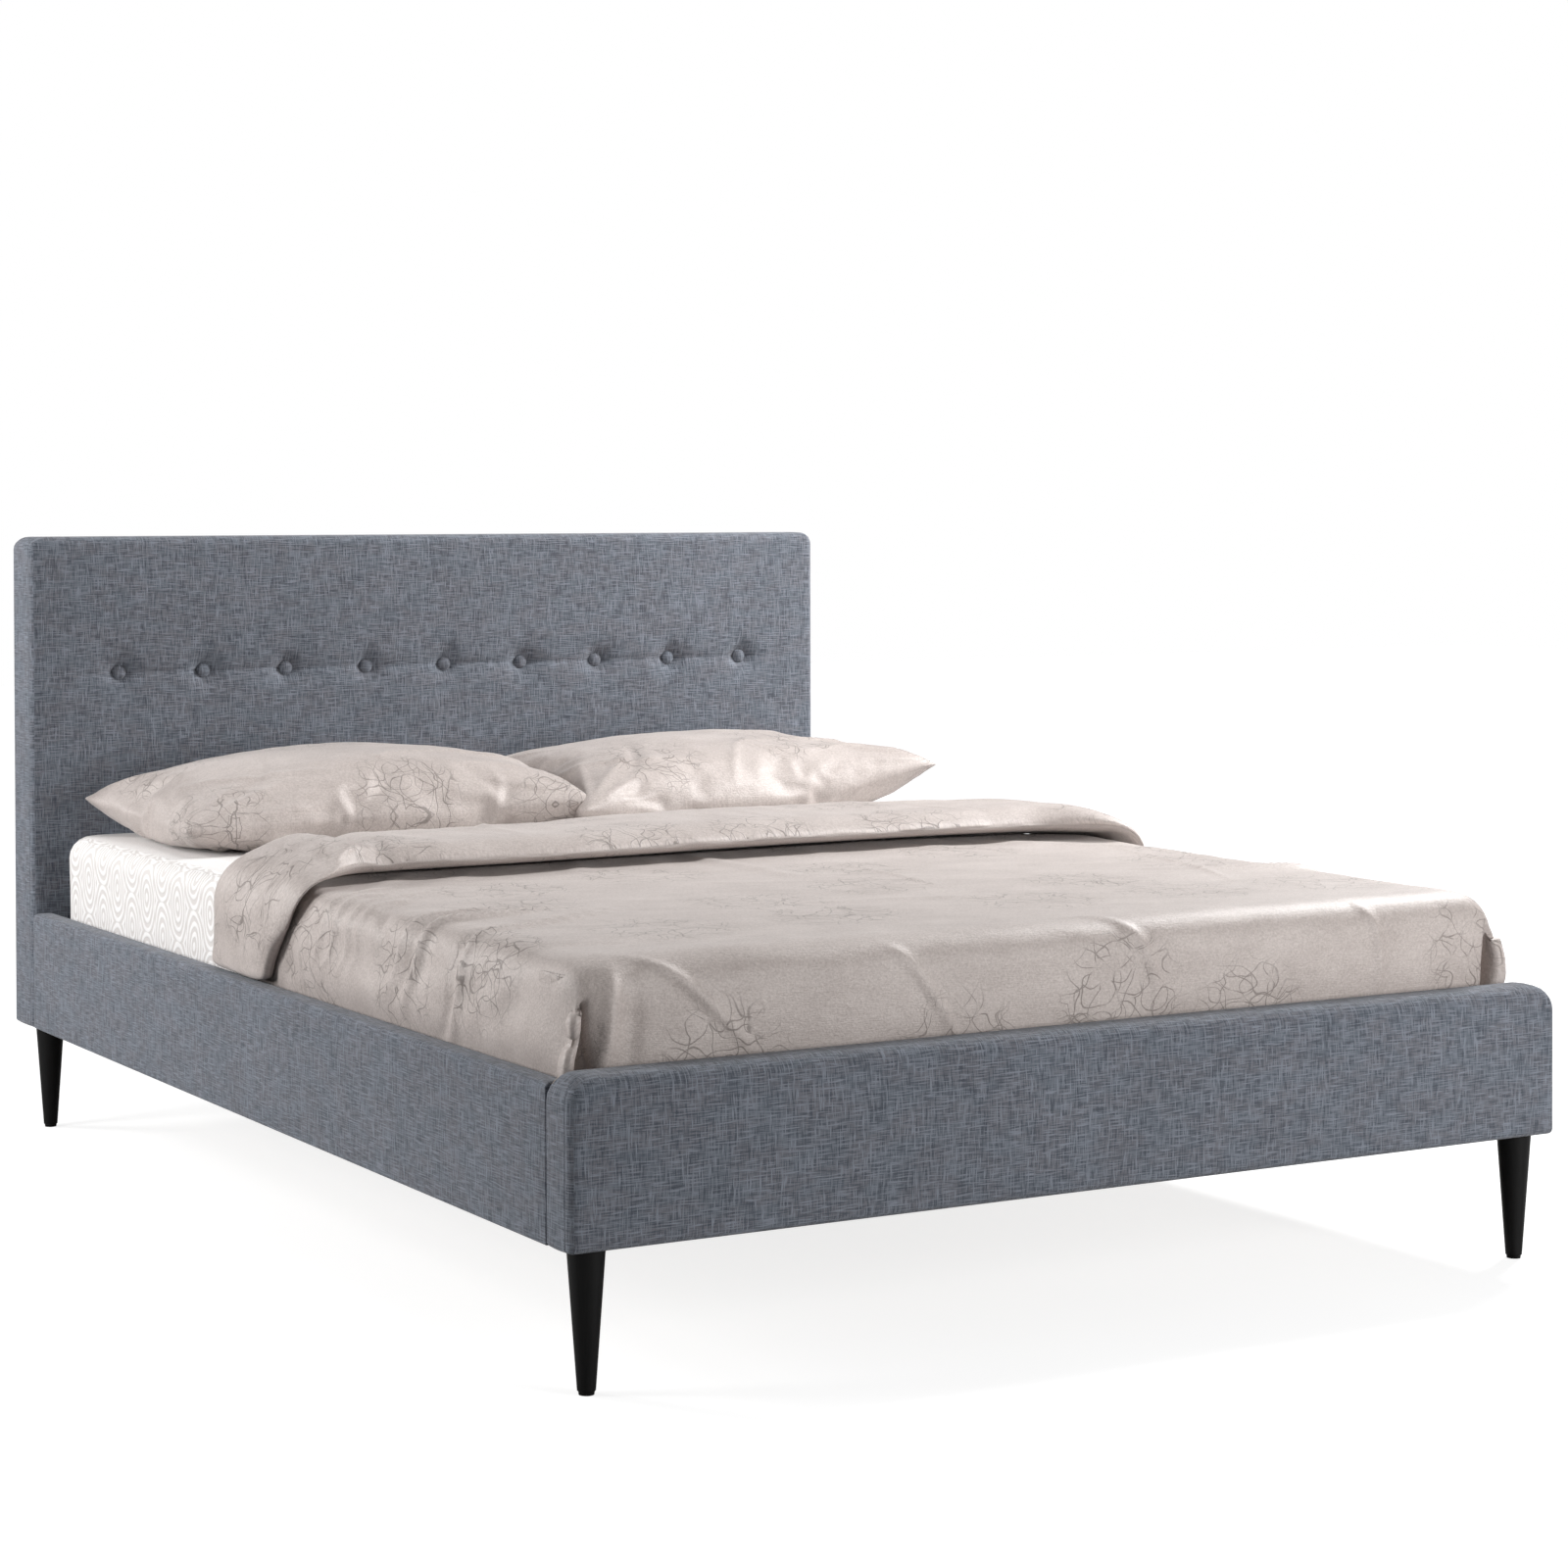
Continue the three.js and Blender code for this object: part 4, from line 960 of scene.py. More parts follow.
class BED_OT_stage(bpy.types.Operator):
    """Add the pale floor, the soft studio light and the camera"""

    bl_idname = "bed.stage"
    bl_label = "Add stage"

    def execute(self, context):
        scene = context.scene
        settings = scene.bed_stage
        scene.view_settings.view_transform = "Standard"
        scene.view_settings.look = "None"
        self.add_floor(settings)
        self.add_world(scene, settings)
        self.add_softbox(scene, "key", (2.5, 0.08, 2.45), (0.0, 1.0, 0.5), 0.55, settings.key_power)
        self.add_softbox(scene, "top", (-0.6, 0.6, 3.4), (0.0, -0.2, 0.5), 1.2, settings.top_power)
        self.add_softbox(scene, "fill", (-4.2, 0.8, 1.6), (-0.8, 0.0, 0.4), 1.3, settings.fill_power)
        self.add_softbox(scene, "rim", (-3.4, 3.2, 2.5), (-0.7, 0.0, 0.4), 0.9, settings.rim_power)
        self.add_softbox(scene, "front", (1.3, -3.7, 1.0), (0.2, -1.0, 0.35), 1.3, settings.front_power)
        self.add_softbox(scene, "back_of_room", (1.6, -5.3, 2.4), (0.2, -1.0, 0.4), 1.6, settings.distant_power)
        self.add_camera(scene)
        return {"FINISHED"}

    def add_floor(self, settings):
        """A sweep that glows only to the camera, so that it is white and takes a faint shadow near the bed."""
        made, tree = new_material("matt_white_sweep")
        place = add_node(tree, PLACE).outputs["Object"]
        grain = stretched_noise(tree, place, (0.4, 0.4, 1.0))
        colour = add_node(tree, RAMP, {0: grain}, [(0.2, "#a2a2a2"), (0.8, settings.floor)])
        away = add_node(tree, VECTORS, {0: place}, operation="LENGTH").outputs["Value"]
        fade = add_node(tree, RANGE, {0: away, 1: 1.2, 2: 4.5, 3: 0.8}, **SOFT)
        seen = add_node(tree, "ShaderNodeLightPath").outputs["Is Camera Ray"]
        glow = add_node(tree, MATHS, {0: seen, 1: fade}, operation="MULTIPLY")
        close_material(made, tree, {
            "Base Color": colour, "Roughness": 0.9, "Specular IOR Level": 0.1, "Emission Color": (1.0,) * 4,
            "Emission Strength": glow})
        half = 16.0
        points = [(-half, -half, 0.0), (half, -half, 0.0), (half, half, 0.0), (-half, half, 0.0)]
        floor = make_piece("studio_floor", points, [(0, 1, 2, 3)], [made])

    def add_world(self, scene, settings):
        """White all round to the camera, and a weak even light on the bed."""
        world = bpy.data.worlds.new("studio")
        scene.world = world
        world.use_nodes = True
        tree = world.node_tree
        tree.nodes.clear()
        seen = add_node(tree, "ShaderNodeLightPath").outputs["Is Camera Ray"]
        strength = add_node(tree, RANGE, {0: seen, 3: settings.sky}, **SOFT)
        sky = add_node(tree, "ShaderNodeBackground", {"Color": (1.0,) * 4, "Strength": strength})
        add_node(tree, "ShaderNodeOutputWorld", {"Surface": sky})

    def add_softbox(self, scene, name, place, target, size, power):
        """A square area light at a place in metres, turned towards its target."""
        light = bpy.data.lights.new(name, "AREA")
        light.shape = "SQUARE"
        light.size = size
        light.energy = power
        holder = bpy.data.objects.new(name, light)
        holder.location = place
        holder.rotation_euler = (Vector(target) - Vector(place)).to_track_quat("-Z", "Y").to_euler()
        scene.collection.objects.link(holder)

    def add_camera(self, scene):
        """A long lens at standing height before the left foot corner, kept level by its shift."""
        yaw, pitch, roll = math.radians(29.4), math.radians(-0.95), math.radians(-0.15)
        sight = Vector((math.cos(pitch) * math.sin(yaw), math.cos(pitch) * math.cos(yaw), math.sin(pitch)))
        right = Vector((math.cos(yaw), -math.sin(yaw), 0.0))
        up = right.cross(sight)
        leaned = right * math.cos(roll) + up * math.sin(roll)
        upright = leaned.cross(sight)
        camera = bpy.data.objects.new("camera", bpy.data.cameras.new("camera"))
        camera.data.sensor_width = 36.0
        camera.data.lens = 77.0
        camera.data.shift_x = 0.0392
        camera.data.shift_y = -0.1385
        camera.data.clip_end = 60.0
        turned = Matrix((leaned, upright, -sight)).transposed().to_4x4()
        camera.matrix_world = Matrix.Translation((-2.6656, -4.7904, 1.103)) @ turned
        scene.collection.objects.link(camera)
        scene.camera = camera


class BED_OT_headboard(bpy.types.Operator):
    """Upholster the headboard: buttoned cover, padding, back cloth and its staples"""

    bl_idname = "bed.headboard"
    bl_label = "Upholster headboard"

    margin = 34 * MM

    def execute(self, context):
        scene = context.scene
        settings = scene.bed_upholstery
        low, high = HEADBOARD
        cover = self.skin(low, high, settings, 5.2 * MM, high.y - low.y, 0.0, 33 * MM)
        piece = make_piece("headboard_upholstery", *cover, [linen(scene)])
        thicken(piece, settings.cover_thickness)
        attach(piece, "frame")
        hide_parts("headboard_cover")
        inset = 4 * MM
        foam_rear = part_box("headboard_foam")[1].y
        foam = self.skin(low + Vector((inset, inset, inset)), high - Vector((inset, inset, inset)), settings,
                         9 * MM, foam_rear - low.y - inset, inset, None)
        padding = make_piece("headboard_padding", *foam, [cut_foam()])
        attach(padding, "frame")
        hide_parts("headboard_foam")
        self.add_back_cloth(scene, settings)
        return {"FINISHED"}

    def skin(self, low, high, settings, step, depth, inset, back_inset):
        """The buttoned face with its rounded edges. The cover is open behind, and the padding is closed."""
        margin = self.margin
        line = centre(BUTTONS[0]).z
        closed = back_inset is None
        columns = spaced(low.x + margin, high.x - margin, step)
        bands = [(low.z + margin, line - 110 * MM, 17 * MM), (line - 110 * MM, line - 46 * MM, 7 * MM),
                 (line - 46 * MM, line + 46 * MM, 3.8 * MM), (line + 46 * MM, line + 110 * MM, 7 * MM),
                 (line + 110 * MM, high.z - margin, 17 * MM)]
        rows = np.unique(np.concatenate([spaced(a, b, c) for a, b, c in bands]).round(6))

        def face(across, up):
            proud = self.relief(across, up, low, high, line, settings)
            return np.maximum(proud, -18.5 * MM if closed else -21.5 * MM)

        def place(across, deep, up):
            return np.column_stack([across, low.y + deep, up])

        corners = tuple(radius - inset for radius in (6 * MM, 20 * MM, 22 * MM))
        fronts = tuple(radius - inset for radius in (12 * MM, 13 * MM, 16 * MM))
        rears = (2 * MM,) * 3 if closed else (3 * MM, 4 * MM, 17 * MM)
        return padded_box(columns, rows, depth, margin, corners, fronts, rears, face, place,
                          seam=0.0 if closed else settings.seam_depth, side_bulge=0.0 if closed else 0.6 * MM,
                          back_inset=back_inset, side_steps=2 if closed else 10)

    def relief(self, across, up, low, high, line, settings):
        """How far the face stands proud: a low crown, slack between the buttons, and the dimples."""
        half_wide, half_high = (high.x - low.x) / 2, (high.z - low.z) / 2
        u = (across - (low.x + high.x) / 2) / (half_wide - self.margin)
        v = (up - (low.z + high.z) / 2) / (half_high - self.margin)
        window = np.clip(1 - np.abs(u) ** 14, 0, 1) * np.clip(1 - np.abs(v) ** 8, 0, 1)
        flat = on_plane(across, up)
        proud = settings.crown * window
        proud += 0.9 * MM * ripples(flat, 0.19, 1.0) * window
        proud += 0.35 * MM * ripples(flat, 0.055, 2.0) * window
        from_line = np.abs(up - line)
        nearest = np.full_like(across, 1e3)
        for index, box in enumerate(BUTTONS):
            button = centre(box)
            reach = np.hypot(across - button.x, up - button.z)
            angle = np.arctan2(up - button.z, across - button.x)
            nearest = np.minimum(nearest, np.abs(across - button.x))
            depth = 0.6 * np.exp(-((reach / (23 * MM)) ** 2)) + 0.4 * np.exp(-reach / (38 * MM))
            pucker = np.exp(-(((reach - 30 * MM) / (17 * MM)) ** 2)) * np.cos(5 * angle + index * 1.3)
            proud -= settings.dimple_depth * depth + 0.4 * MM * pucker
        edge = np.clip((np.abs(across) - abs(centre(BUTTONS[-1]).x)) / (95 * MM), 0, 1)
        pull = (4.0 + 4.5 * np.exp(-nearest / (36 * MM))) * (1 - edge)
        width = 7 * MM + 12 * MM * np.exp(-nearest / (40 * MM))
        proud -= MM * pull * np.exp(-from_line / width)
        return proud

    def add_back_cloth(self, scene, settings):
        """A thin cloth closes the back. It is stapled along its edge and sags a little between the staples."""
        low, high = BACK_CLOTH
        spacing = 45 * MM
        across, up = np.meshgrid(spaced(low.x, high.x, 9 * MM), spaced(low.z, high.z, 9 * MM))
        wide = across.shape[1]
        across, up = across.ravel(), up.ravel()
        to_side = np.minimum(across - low.x, high.x - across)
        to_end = np.minimum(up - low.z, high.z - up)
        edge = np.minimum(to_side, to_end)
        along = np.where(to_side < to_end, up, across)
        slack = np.sin(np.pi * along / spacing) ** 2 * np.exp(-edge / (30 * MM))
        flat = on_plane(across, up)
        sag = 1.6 * MM * (1 - np.exp(-edge / (60 * MM))) * (0.6 + 0.4 * ripples(flat, 0.25, 4.0))
        deep = high.y - 0.5 * MM - sag + 0.45 * MM * slack
        rows = len(across) // wide
        faces = [(a, a + wide, a + wide + 1, a + 1) for j in range(rows - 1)
                 for a in range(j * wide, j * wide + wide - 1)]
        cloth = make_piece("headboard_dust_cloth", np.column_stack([across, deep, up]), faces,
                           [material("black_spunbond_cloth", spunbond, settings)], np.column_stack([across, up]))
        thicken(cloth, 0.4 * MM)
        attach(cloth, "frame")
        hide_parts("headboard_back_cloth")
        inset = 7 * MM
        ring = [(low.x + inset, low.z + inset), (high.x - inset, low.z + inset), (high.x - inset, high.z - inset),
                (low.x + inset, high.z - inset)]
        base = path_mesh("staple_line", [(x, high.y + 0.1 * MM, z) for x, z in ring], closed=True)
        steel = material("black_coated_steel", powder_coat, scene.bed_timber.steel_coat, "#2b2b2e", 0.9, 0.42,
                         0.8 * MM)
        staples = grow("back_cloth_staples", base, along_path_tree(), {
            "Spacing": spacing, "Length": 11 * MM, "Width": 1.1 * MM, "Material": steel})
        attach(staples, "frame")


class BED_OT_buttons(bpy.types.Operator):
    """Add the row of fabric-covered buttons"""

    bl_idname = "bed.buttons"
    bl_label = "Add buttons"

    def execute(self, context):
        scene = context.scene
        settings = scene.bed_upholstery
        middle = centre(BUTTONS[len(BUTTONS) // 2])
        thickness = 13 * MM
        front = HEADBOARD[0].y + 7.5 * MM
        anchor = point_mesh("button_row_centre", [(0.0, front + thickness / 2, middle.z)])
        pitch = centre(BUTTONS[1]).x - centre(BUTTONS[0]).x
        cloth = material("linen_look_weave_buttons", linen_weave, "object", settings)
        buttons = grow("headboard_buttons", anchor, buttons_tree(), {
            "Radius": settings.button_radius, "Thickness": thickness, "Count": len(BUTTONS), "Pitch": pitch,
            "Material": cloth})
        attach(buttons, "frame")
        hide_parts(*[f"headboard_button_{number}" for number in range(1, 10)])
        return {"FINISHED"}


class BED_OT_footboard(bpy.types.Operator):
    """Upholster the footboard"""

    bl_idname = "bed.footboard"
    bl_label = "Upholster footboard"

    def execute(self, context):
        scene = context.scene
        settings = scene.bed_upholstery
        low, high = FOOTBOARD
        cover = self.skin(low, high, settings, 0.0, high.y - low.y)
        piece = make_piece("footboard_upholstery", *cover, [linen(scene)])
        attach(piece, "frame")
        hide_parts("footboard_cover")
        inset = 4 * MM
        inward = Vector((inset, inset, inset))
        foam_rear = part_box("footboard_foam")[1].y
        foam = self.skin(low + inward, high - inward, settings, inset, foam_rear - low.y - inset)
        padding = make_piece("footboard_padding", *foam, [cut_foam()])
        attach(padding, "frame")
        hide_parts("footboard_foam")
        return {"FINISHED"}

    def skin(self, low, high, settings, inset, depth):
        """The plain padded face with its rounded edges, or the padding that lies inset within it."""
        margin = 37 * MM
        columns = spaced(low.x + margin, high.x - margin, 13 * MM)
        rows = spaced(low.z + margin, high.z - margin, 9 * MM)

        def face(across, up):
            u = across / (high.x - margin)
            v = (up - (low.z + high.z) / 2) / ((high.z - low.z) / 2 - margin)
            window = np.clip(1 - np.abs(u) ** 20, 0, 1) * np.clip(1 - np.abs(v) ** 4, 0, 1)
            flat = on_plane(across, up)
            return (settings.crown * 0.8 + 0.7 * MM * ripples(flat, 0.16, 3.0)) * window

        def place(across, deep, up):
            return np.column_stack([across, low.y + deep, up])

        corners = tuple(radius - inset for radius in (7 * MM, 20 * MM, 36.5 * MM))
        fronts = tuple(radius - inset for radius in (12 * MM, 14 * MM, 22 * MM))
        rears = (2 * MM,) * 3 if inset else (4 * MM, 4 * MM, 16 * MM)
        return padded_box(columns, rows, depth, margin, corners, fronts, rears, face, place,
                          seam=0.0 if inset else settings.seam_depth, side_bulge=0.0 if inset else 0.6 * MM,
                          side_steps=2 if inset else 8)


class BED_OT_side_rails(bpy.types.Operator):
    """Cover the two side rails"""

    bl_idname = "bed.side_rails"
    bl_label = "Cover side rails"

    def execute(self, context):
        scene = context.scene
        for side, (low, high) in (("left", RAIL_LEFT), ("right", RAIL_RIGHT)):
            sign = SIDES[side]
            margin = 11 * MM
            outer = low.x if sign < 0 else high.x
            columns = spaced(low.y + margin, high.y - margin, 16 * MM)
            rows = spaced(low.z + margin, high.z - margin, 9 * MM)

            def face(across, up, low=low, high=high):
                v = (up - (low.z + high.z) / 2) / ((high.z - low.z) / 2)
                flat = on_plane(across, up)
                return (0.8 * MM + 0.5 * MM * ripples(flat, 0.2, 5.0)) * np.clip(1 - np.abs(v) ** 4, 0, 1)

            def place(across, deep, up, sign=sign, outer=outer):
                return np.column_stack([outer - sign * deep, across * sign, up])

            if sign < 0:
                columns = -columns[::-1]
            skin = padded_box(columns, rows, high.x - low.x, margin, (4 * MM, 4 * MM, 8 * MM),
                              (4 * MM, 2 * MM, 9 * MM), (4 * MM, 2 * MM, 9 * MM), face, place, side_steps=4)
            piece = make_piece(f"side_rail_upholstery_{side}", *skin, [linen(scene)])
            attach(piece, "frame")
            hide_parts(f"side_rail_cover_{side}")
        return {"FINISHED"}


class BED_OT_legs(bpy.types.Operator):
    """Add the turned, tapered legs"""

    bl_idname = "bed.legs"
    bl_label = "Add legs"

    def execute(self, context):
        scene = context.scene
        places = [(centre(box).x, centre(box).y, 0.0) for box in LEGS]
        legs = grow("tapered_legs", point_mesh("leg_points", places), legs_tree(), {
            "Length": FRAME_BOTTOM - 0.3 * MM, "Material": lacquer(scene)})
        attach(legs, "frame")
        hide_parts(*LEG_NAMES)
        return {"FINISHED"}


class BED_OT_slatted_base(bpy.types.Operator):
    """Finish the timber and the metalwork under the mattress, and add its screws"""

    bl_idname = "bed.slatted_base"
    bl_label = "Finish slatted base"

    def execute(self, context):
        scene = context.scene
        settings = scene.bed_timber
        pine = {axis: material(f"planed_pine_{word}", planed_timber, settings.pine, settings.pine_dark, axis)
                for axis, word in ((0, "across"), (1, "along"), (2, "upright"))}
        plywood = material("sanded_plywood", rough_stock, "#cdb083", "#a8844f", (30 * MM, 30 * MM, 3 * MM),
                           0.3 * MM, 0.7)
        steel = material("black_coated_steel", powder_coat, settings.steel_coat, "#2b2b2e", 0.9, 0.42, 0.8 * MM)
        plastic = material("moulded_black_plastic", powder_coat, settings.plastic, "#262628", 0.0, 0.5, 0.6 * MM)
        by_node = {name: pine[0] for name in SLAT_NAMES}
        for name in ("headboard_top_rail", "headboard_bottom_rail", "footboard_top_rail", "footboard_bottom_rail"):
            by_node[name] = pine[0]
        for name in ("centre_beam", "slat_ledger_left", "slat_ledger_right"):
            by_node[name] = pine[1]
        for side in SIDES:
            by_node[f"headboard_post_{side}"] = by_node[f"footboard_block_{side}"] = pine[2]
            by_node[f"side_rail_plank_{side}"] = plywood
            for end in ("front", "rear"):
                by_node[f"corner_bracket_{end}_{side}"] = steel
        for end in ("front", "rear"):
            by_node[f"beam_hanger_{end}"] = steel
            by_node[f"centre_leg_{end}"] = lacquer(scene)
            by_node[f"levelling_foot_{end}"] = plastic
        by_node["headboard_panel"] = by_node["footboard_panel"] = plywood
        for name, finish in by_node.items():
            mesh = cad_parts[name].data
            mesh.materials.clear()
            mesh.materials.append(finish)
        self.add_screws(settings, steel)
        return {"FINISHED"}

    def add_screws(self, settings, steel):
        """Two screws at each end of each slat, and three in each corner bracket."""
        places, facing = [], []
        for name in SLAT_NAMES:
            low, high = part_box(name)
            for sign in SIDES.values():
                for shift in (-0.25, 0.25):
                    y = centre((low, high)).y + shift * (high.y - low.y)
                    places.append((sign * (high.x - 14 * MM), y, high.z))
                    facing.append((0, 0, 1))
        for end, inwards in (("front", 1), ("rear", -1)):
            for side, sign in SIDES.items():
                low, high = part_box(f"corner_bracket_{end}_{side}")
                wall = low.y if inwards > 0 else high.y
                for height in (0.25, 0.75):
                    z = low.z + height * (high.z - low.z)
                    places.append((sign * (INNER_SIDE - 3.4 * MM), wall + inwards * 30 * MM, z))
                    facing.append((-sign, 0, 0))
                places.append((sign * (INNER_SIDE - 24 * MM), wall + inwards * 3.1 * MM, (low.z + high.z) / 2))
                facing.append((0, inwards, 0))
        screws = grow("frame_screws", point_mesh("screw_points", places, facing), heads_tree(), {
            "Radius": settings.screw_radius, "Material": steel})
        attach(screws, "frame")


class BED_OT_mattress(bpy.types.Operator):
    """Add the mattress in its ticking"""

    bl_idname = "bed.mattress"
    bl_label = "Add mattress"

    def execute(self, context):
        scene = context.scene
        settings = scene.bed_bedding
        low, high = MATTRESS
        margin = 70 * MM
        columns = spaced(low.x + margin, high.x - margin, 20 * MM)
        rows = spaced(low.y + margin, high.y - margin, 20 * MM)

        def face(across, up):
            flat = on_plane(across, up)
            return 0.5 * MM * ripples(flat, 0.16, 8.0) - 0.5 * MM

        def place(across, deep, up):
            return np.column_stack([across, up, high.z - deep])

        skin = padded_box(columns, rows, high.z - low.z, margin, (58 * MM,) * 3, (38 * MM,) * 3, (34 * MM,) * 3,
                          face, place, side_bulge=-1.5 * MM, side_steps=12)
        side = material("embossed_ticking", knitted_ticking, settings, True)
        top = material("plain_ticking", knitted_ticking, settings, False)
        piece = make_piece("mattress_ticking", *skin, [side, top])
        for polygon in piece.data.polygons:
            polygon.material_index = int(polygon.normal.z > 0.93)
        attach(piece, "mattress")
        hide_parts("mattress")
        return {"FINISHED"}


def over_edge(flat, half, radius):
    """Where cloth lies that runs level to half - radius, bends down over an edge and hangs.

    Returns the distance out, the drop, and the angle that the cloth has turned.
    """
    level = half - radius
    arc = radius * math.pi / 2
    angle = np.clip((flat - level) / radius, 0, math.pi / 2)
    out = np.minimum(flat, level) + radius * np.sin(angle)
    drop = radius * (1 - np.cos(angle)) + np.maximum(flat - level - arc, 0)
    return out, drop, angle


class BED_OT_duvet(bpy.types.Operator):
    """Lay the duvet: body, tucked-in drops and turned-back cuff"""

    bl_idname = "bed.duvet"
    bl_label = "Lay duvet"

    edge_radius = 42 * MM
    tuck = 310 * MM
    fold_strength = 1.7

    def execute(self, context):
        scene = context.scene
        settings = scene.bed_bedding
        low, high = MATTRESS
        self.cloth = material("embroidered_satin_cotton", satin_cotton, settings)
        self.half_layer = settings.duvet_thickness / 2
        self.side = high.x + self.half_layer
        self.foot = -low.y + self.half_layer
        self.top = high.z + 9 * MM + self.half_layer
        self.drop = self.top - self.tuck
        self.reach = self.side - self.edge_radius + self.edge_radius * math.pi / 2 + self.drop - self.edge_radius
        self.add_body(settings)
        self.add_cuff(settings)
        for side, sign in SIDES.items():
            self.add_tucked_corner(side, sign)
        return {"FINISHED"}

    def hem(self, across):
        """Where the cuff's hem lies along the bed, for a place across the flat cloth."""
        shoulder = np.exp(-(((np.abs(across) - 0.755) / 0.085) ** 2))
        hanging = np.clip((np.abs(across) - 0.80) / 0.1, 0, 1)
        return -0.058 + 0.018 * np.cos(across * 4.0 - 1.2) - 0.085 * shoulder + 0.02 * hanging

    def fold(self, across):
        """Where the cuff's fold lies along the bed, for a place across the flat cloth."""
        level = 0.305 + 0.065 * np.sin(np.clip(across, -0.8, 0.8) * 1.9)
        side = np.clip((np.abs(across) - 0.36) / 0.48, 0, 1)
        side = side * side * (3 - 2 * side)
        return level * (1 - side) + 0.165 * side + 0.03 * np.clip((np.abs(across) - 0.82) / 0.1, 0, 1)

    def add_body(self, settings):
        """The layer that covers the mattress, cut out at both foot corners and laid over the edges."""
        step = 22 * MM
        corner = 0.78 * self.edge_radius * math.pi / 2
        u_cut = self.side - self.edge_radius + corner
        v_cut = self.foot - self.edge_radius + corner
        v_reach = self.foot - self.edge_radius + self.edge_radius * math.pi / 2 + self.drop - self.edge_radius
        outer = spaced(u_cut, self.reach, step)
        columns = np.concatenate([-outer[::-1], spaced(-u_cut, u_cut, step)[1:-1], outer])
        front_rows = spaced(-v_reach, -v_cut, step)
        main_rows = round(v_cut / step)
        across, flat_y, faces = [], [], []
        for u in columns:
            rear = float(self.hem(np.array(u))) + 0.085
            line = np.concatenate([front_rows, np.linspace(-v_cut, rear, main_rows)[1:]])
            across.append(np.full(len(line), u))
            flat_y.append(line)
        rows = len(line)
        u, v = np.concatenate(across), np.concatenate(flat_y)
        for i in range(len(columns) - 1):
            cut = abs(columns[i] + columns[i + 1]) / 2 > u_cut
            for j in range(rows - 1):
                if cut and j < len(front_rows) - 1:
                    continue
                a = i * rows + j
                faces.append((a, a + rows, a + rows + 1, a + 1))
        used = np.unique(np.array(faces))
        renumber = np.full(len(u), -1)
        renumber[used] = np.arange(len(used))
        faces = [tuple(int(renumber[c]) for c in quad) for quad in faces]
        u, v = u[used], v[used]
        out, sideways_drop, _ = over_edge(np.abs(u), self.side, self.edge_radius)
        ahead, front_drop, _ = over_edge(-v, self.foot, self.edge_radius)
        y = np.where(v < 0, -ahead, v)
        z = self.top - sideways_drop - np.where(v < 0, front_drop, 0)
        points = np.column_stack([np.sign(u) * out, y, z])
        flat = np.column_stack([u, v])
        points[:, 2] += 0.6 * MM * ripples(points, 0.12, 3.0)
        piece = make_piece("duvet_body", points, faces, [self.cloth], flat)
        rear_edge = v > self.hem(u) + 0.07
        pinned = (z < RAIL_TOP - 22 * MM) | rear_edge
        low, high = MATTRESS
        support = box_collider("mattress_support", low - Vector((1, 1, 0)) * MM, high + Vector((1, 1, 3.5)) * MM)
        round_edges(support, 40 * MM)
        simulate(piece, 22, gravity=1.0, growth=0.012, bending=0.8, stiffness=15.0, pinned=pinned,
                 colliders=[support])
        bpy.data.objects.remove(support)
        self.keep_in_bed(piece)
        refine(piece)
        refine(piece)
        self.open_slits(piece, u_cut, v_cut)
        flat = flat_places(piece.data)
        slanted = on_plane((flat[:, 0] * 0.9 - flat[:, 1] * 0.44) * 0.09, flat[:, 0] * 0.44 + flat[:, 1] * 0.9)
        spread = on_plane(flat[:, 0], flat[:, 1])
        lift = self.fold_strength * crease_lift(flat, self.creases())
        lift += 0.7 * MM * ripples(slanted, 0.026, 2.0) + 1.6 * MM * ripples(spread, 0.17, 5.0)
        hanging = np.clip((np.abs(flat[:, 0]) - 0.74) / 0.05, 0, 1)
        lift += 2.2 * MM * hanging * ripples(spread * np.array([0.5, 1.0, 1.0]), 0.075, 9.0)
        displace(piece, np.maximum(lift, -4.5 * MM))
        thicken(piece, settings.duvet_thickness)
        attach(piece, "duvet")
        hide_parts("duvet")

    def keep_in_bed(self, piece):
        """Below the rails' tops the cloth is squeezed between mattress and frame, so it can't bulge."""
        places = coordinates(piece.data)
        squeezed = np.clip((RAIL_TOP + 25 * MM - places[:, 2]) / (30 * MM), 0, 1)
        widest = np.interp(squeezed, [0, 1], [self.side + 12 * MM, self.side])
        furthest = np.interp(squeezed, [0, 1], [self.foot + 4 * MM, self.foot])
        places[:, 0] = np.clip(places[:, 0], -widest, widest)
        places[:, 1] = np.maximum(places[:, 1], -furthest)
        move_vertices(piece.data, places)

    def open_slits(self, piece, u_cut, v_cut):
        """Opens the two corner slits: the side flap curls out and the foot flap's edge turns in."""
        flat = flat_places(piece.data)
        places = coordinates(piece.data)
        across = np.abs(flat[:, 0])
        sign = np.sign(flat[:, 0])
        down = np.clip((self.top - self.edge_radius * 0.7 - places[:, 2]) / (50 * MM), 0, 1) ** 0.6
        side_flap = across > u_cut - 1 * MM
        from_edge = np.clip(flat[:, 1] + v_cut, 0, None)
        share = np.exp(-((from_edge / (16 * MM)) ** 2)) * down * side_flap * (places[:, 1] < 0)
        places[:, 0] += sign * 6 * MM * share
        places[:, 1] -= MM * share
        foot_flap = flat[:, 1] < -v_cut + 1 * MM
        from_edge = np.clip(u_cut - across, 0, None)
        share = np.exp(-((from_edge / (21 * MM)) ** 2)) * down * foot_flap
        places[:, 0] -= sign * 12 * MM * share
        places[:, 1] += 28 * MM * share
        move_vertices(piece.data, places)

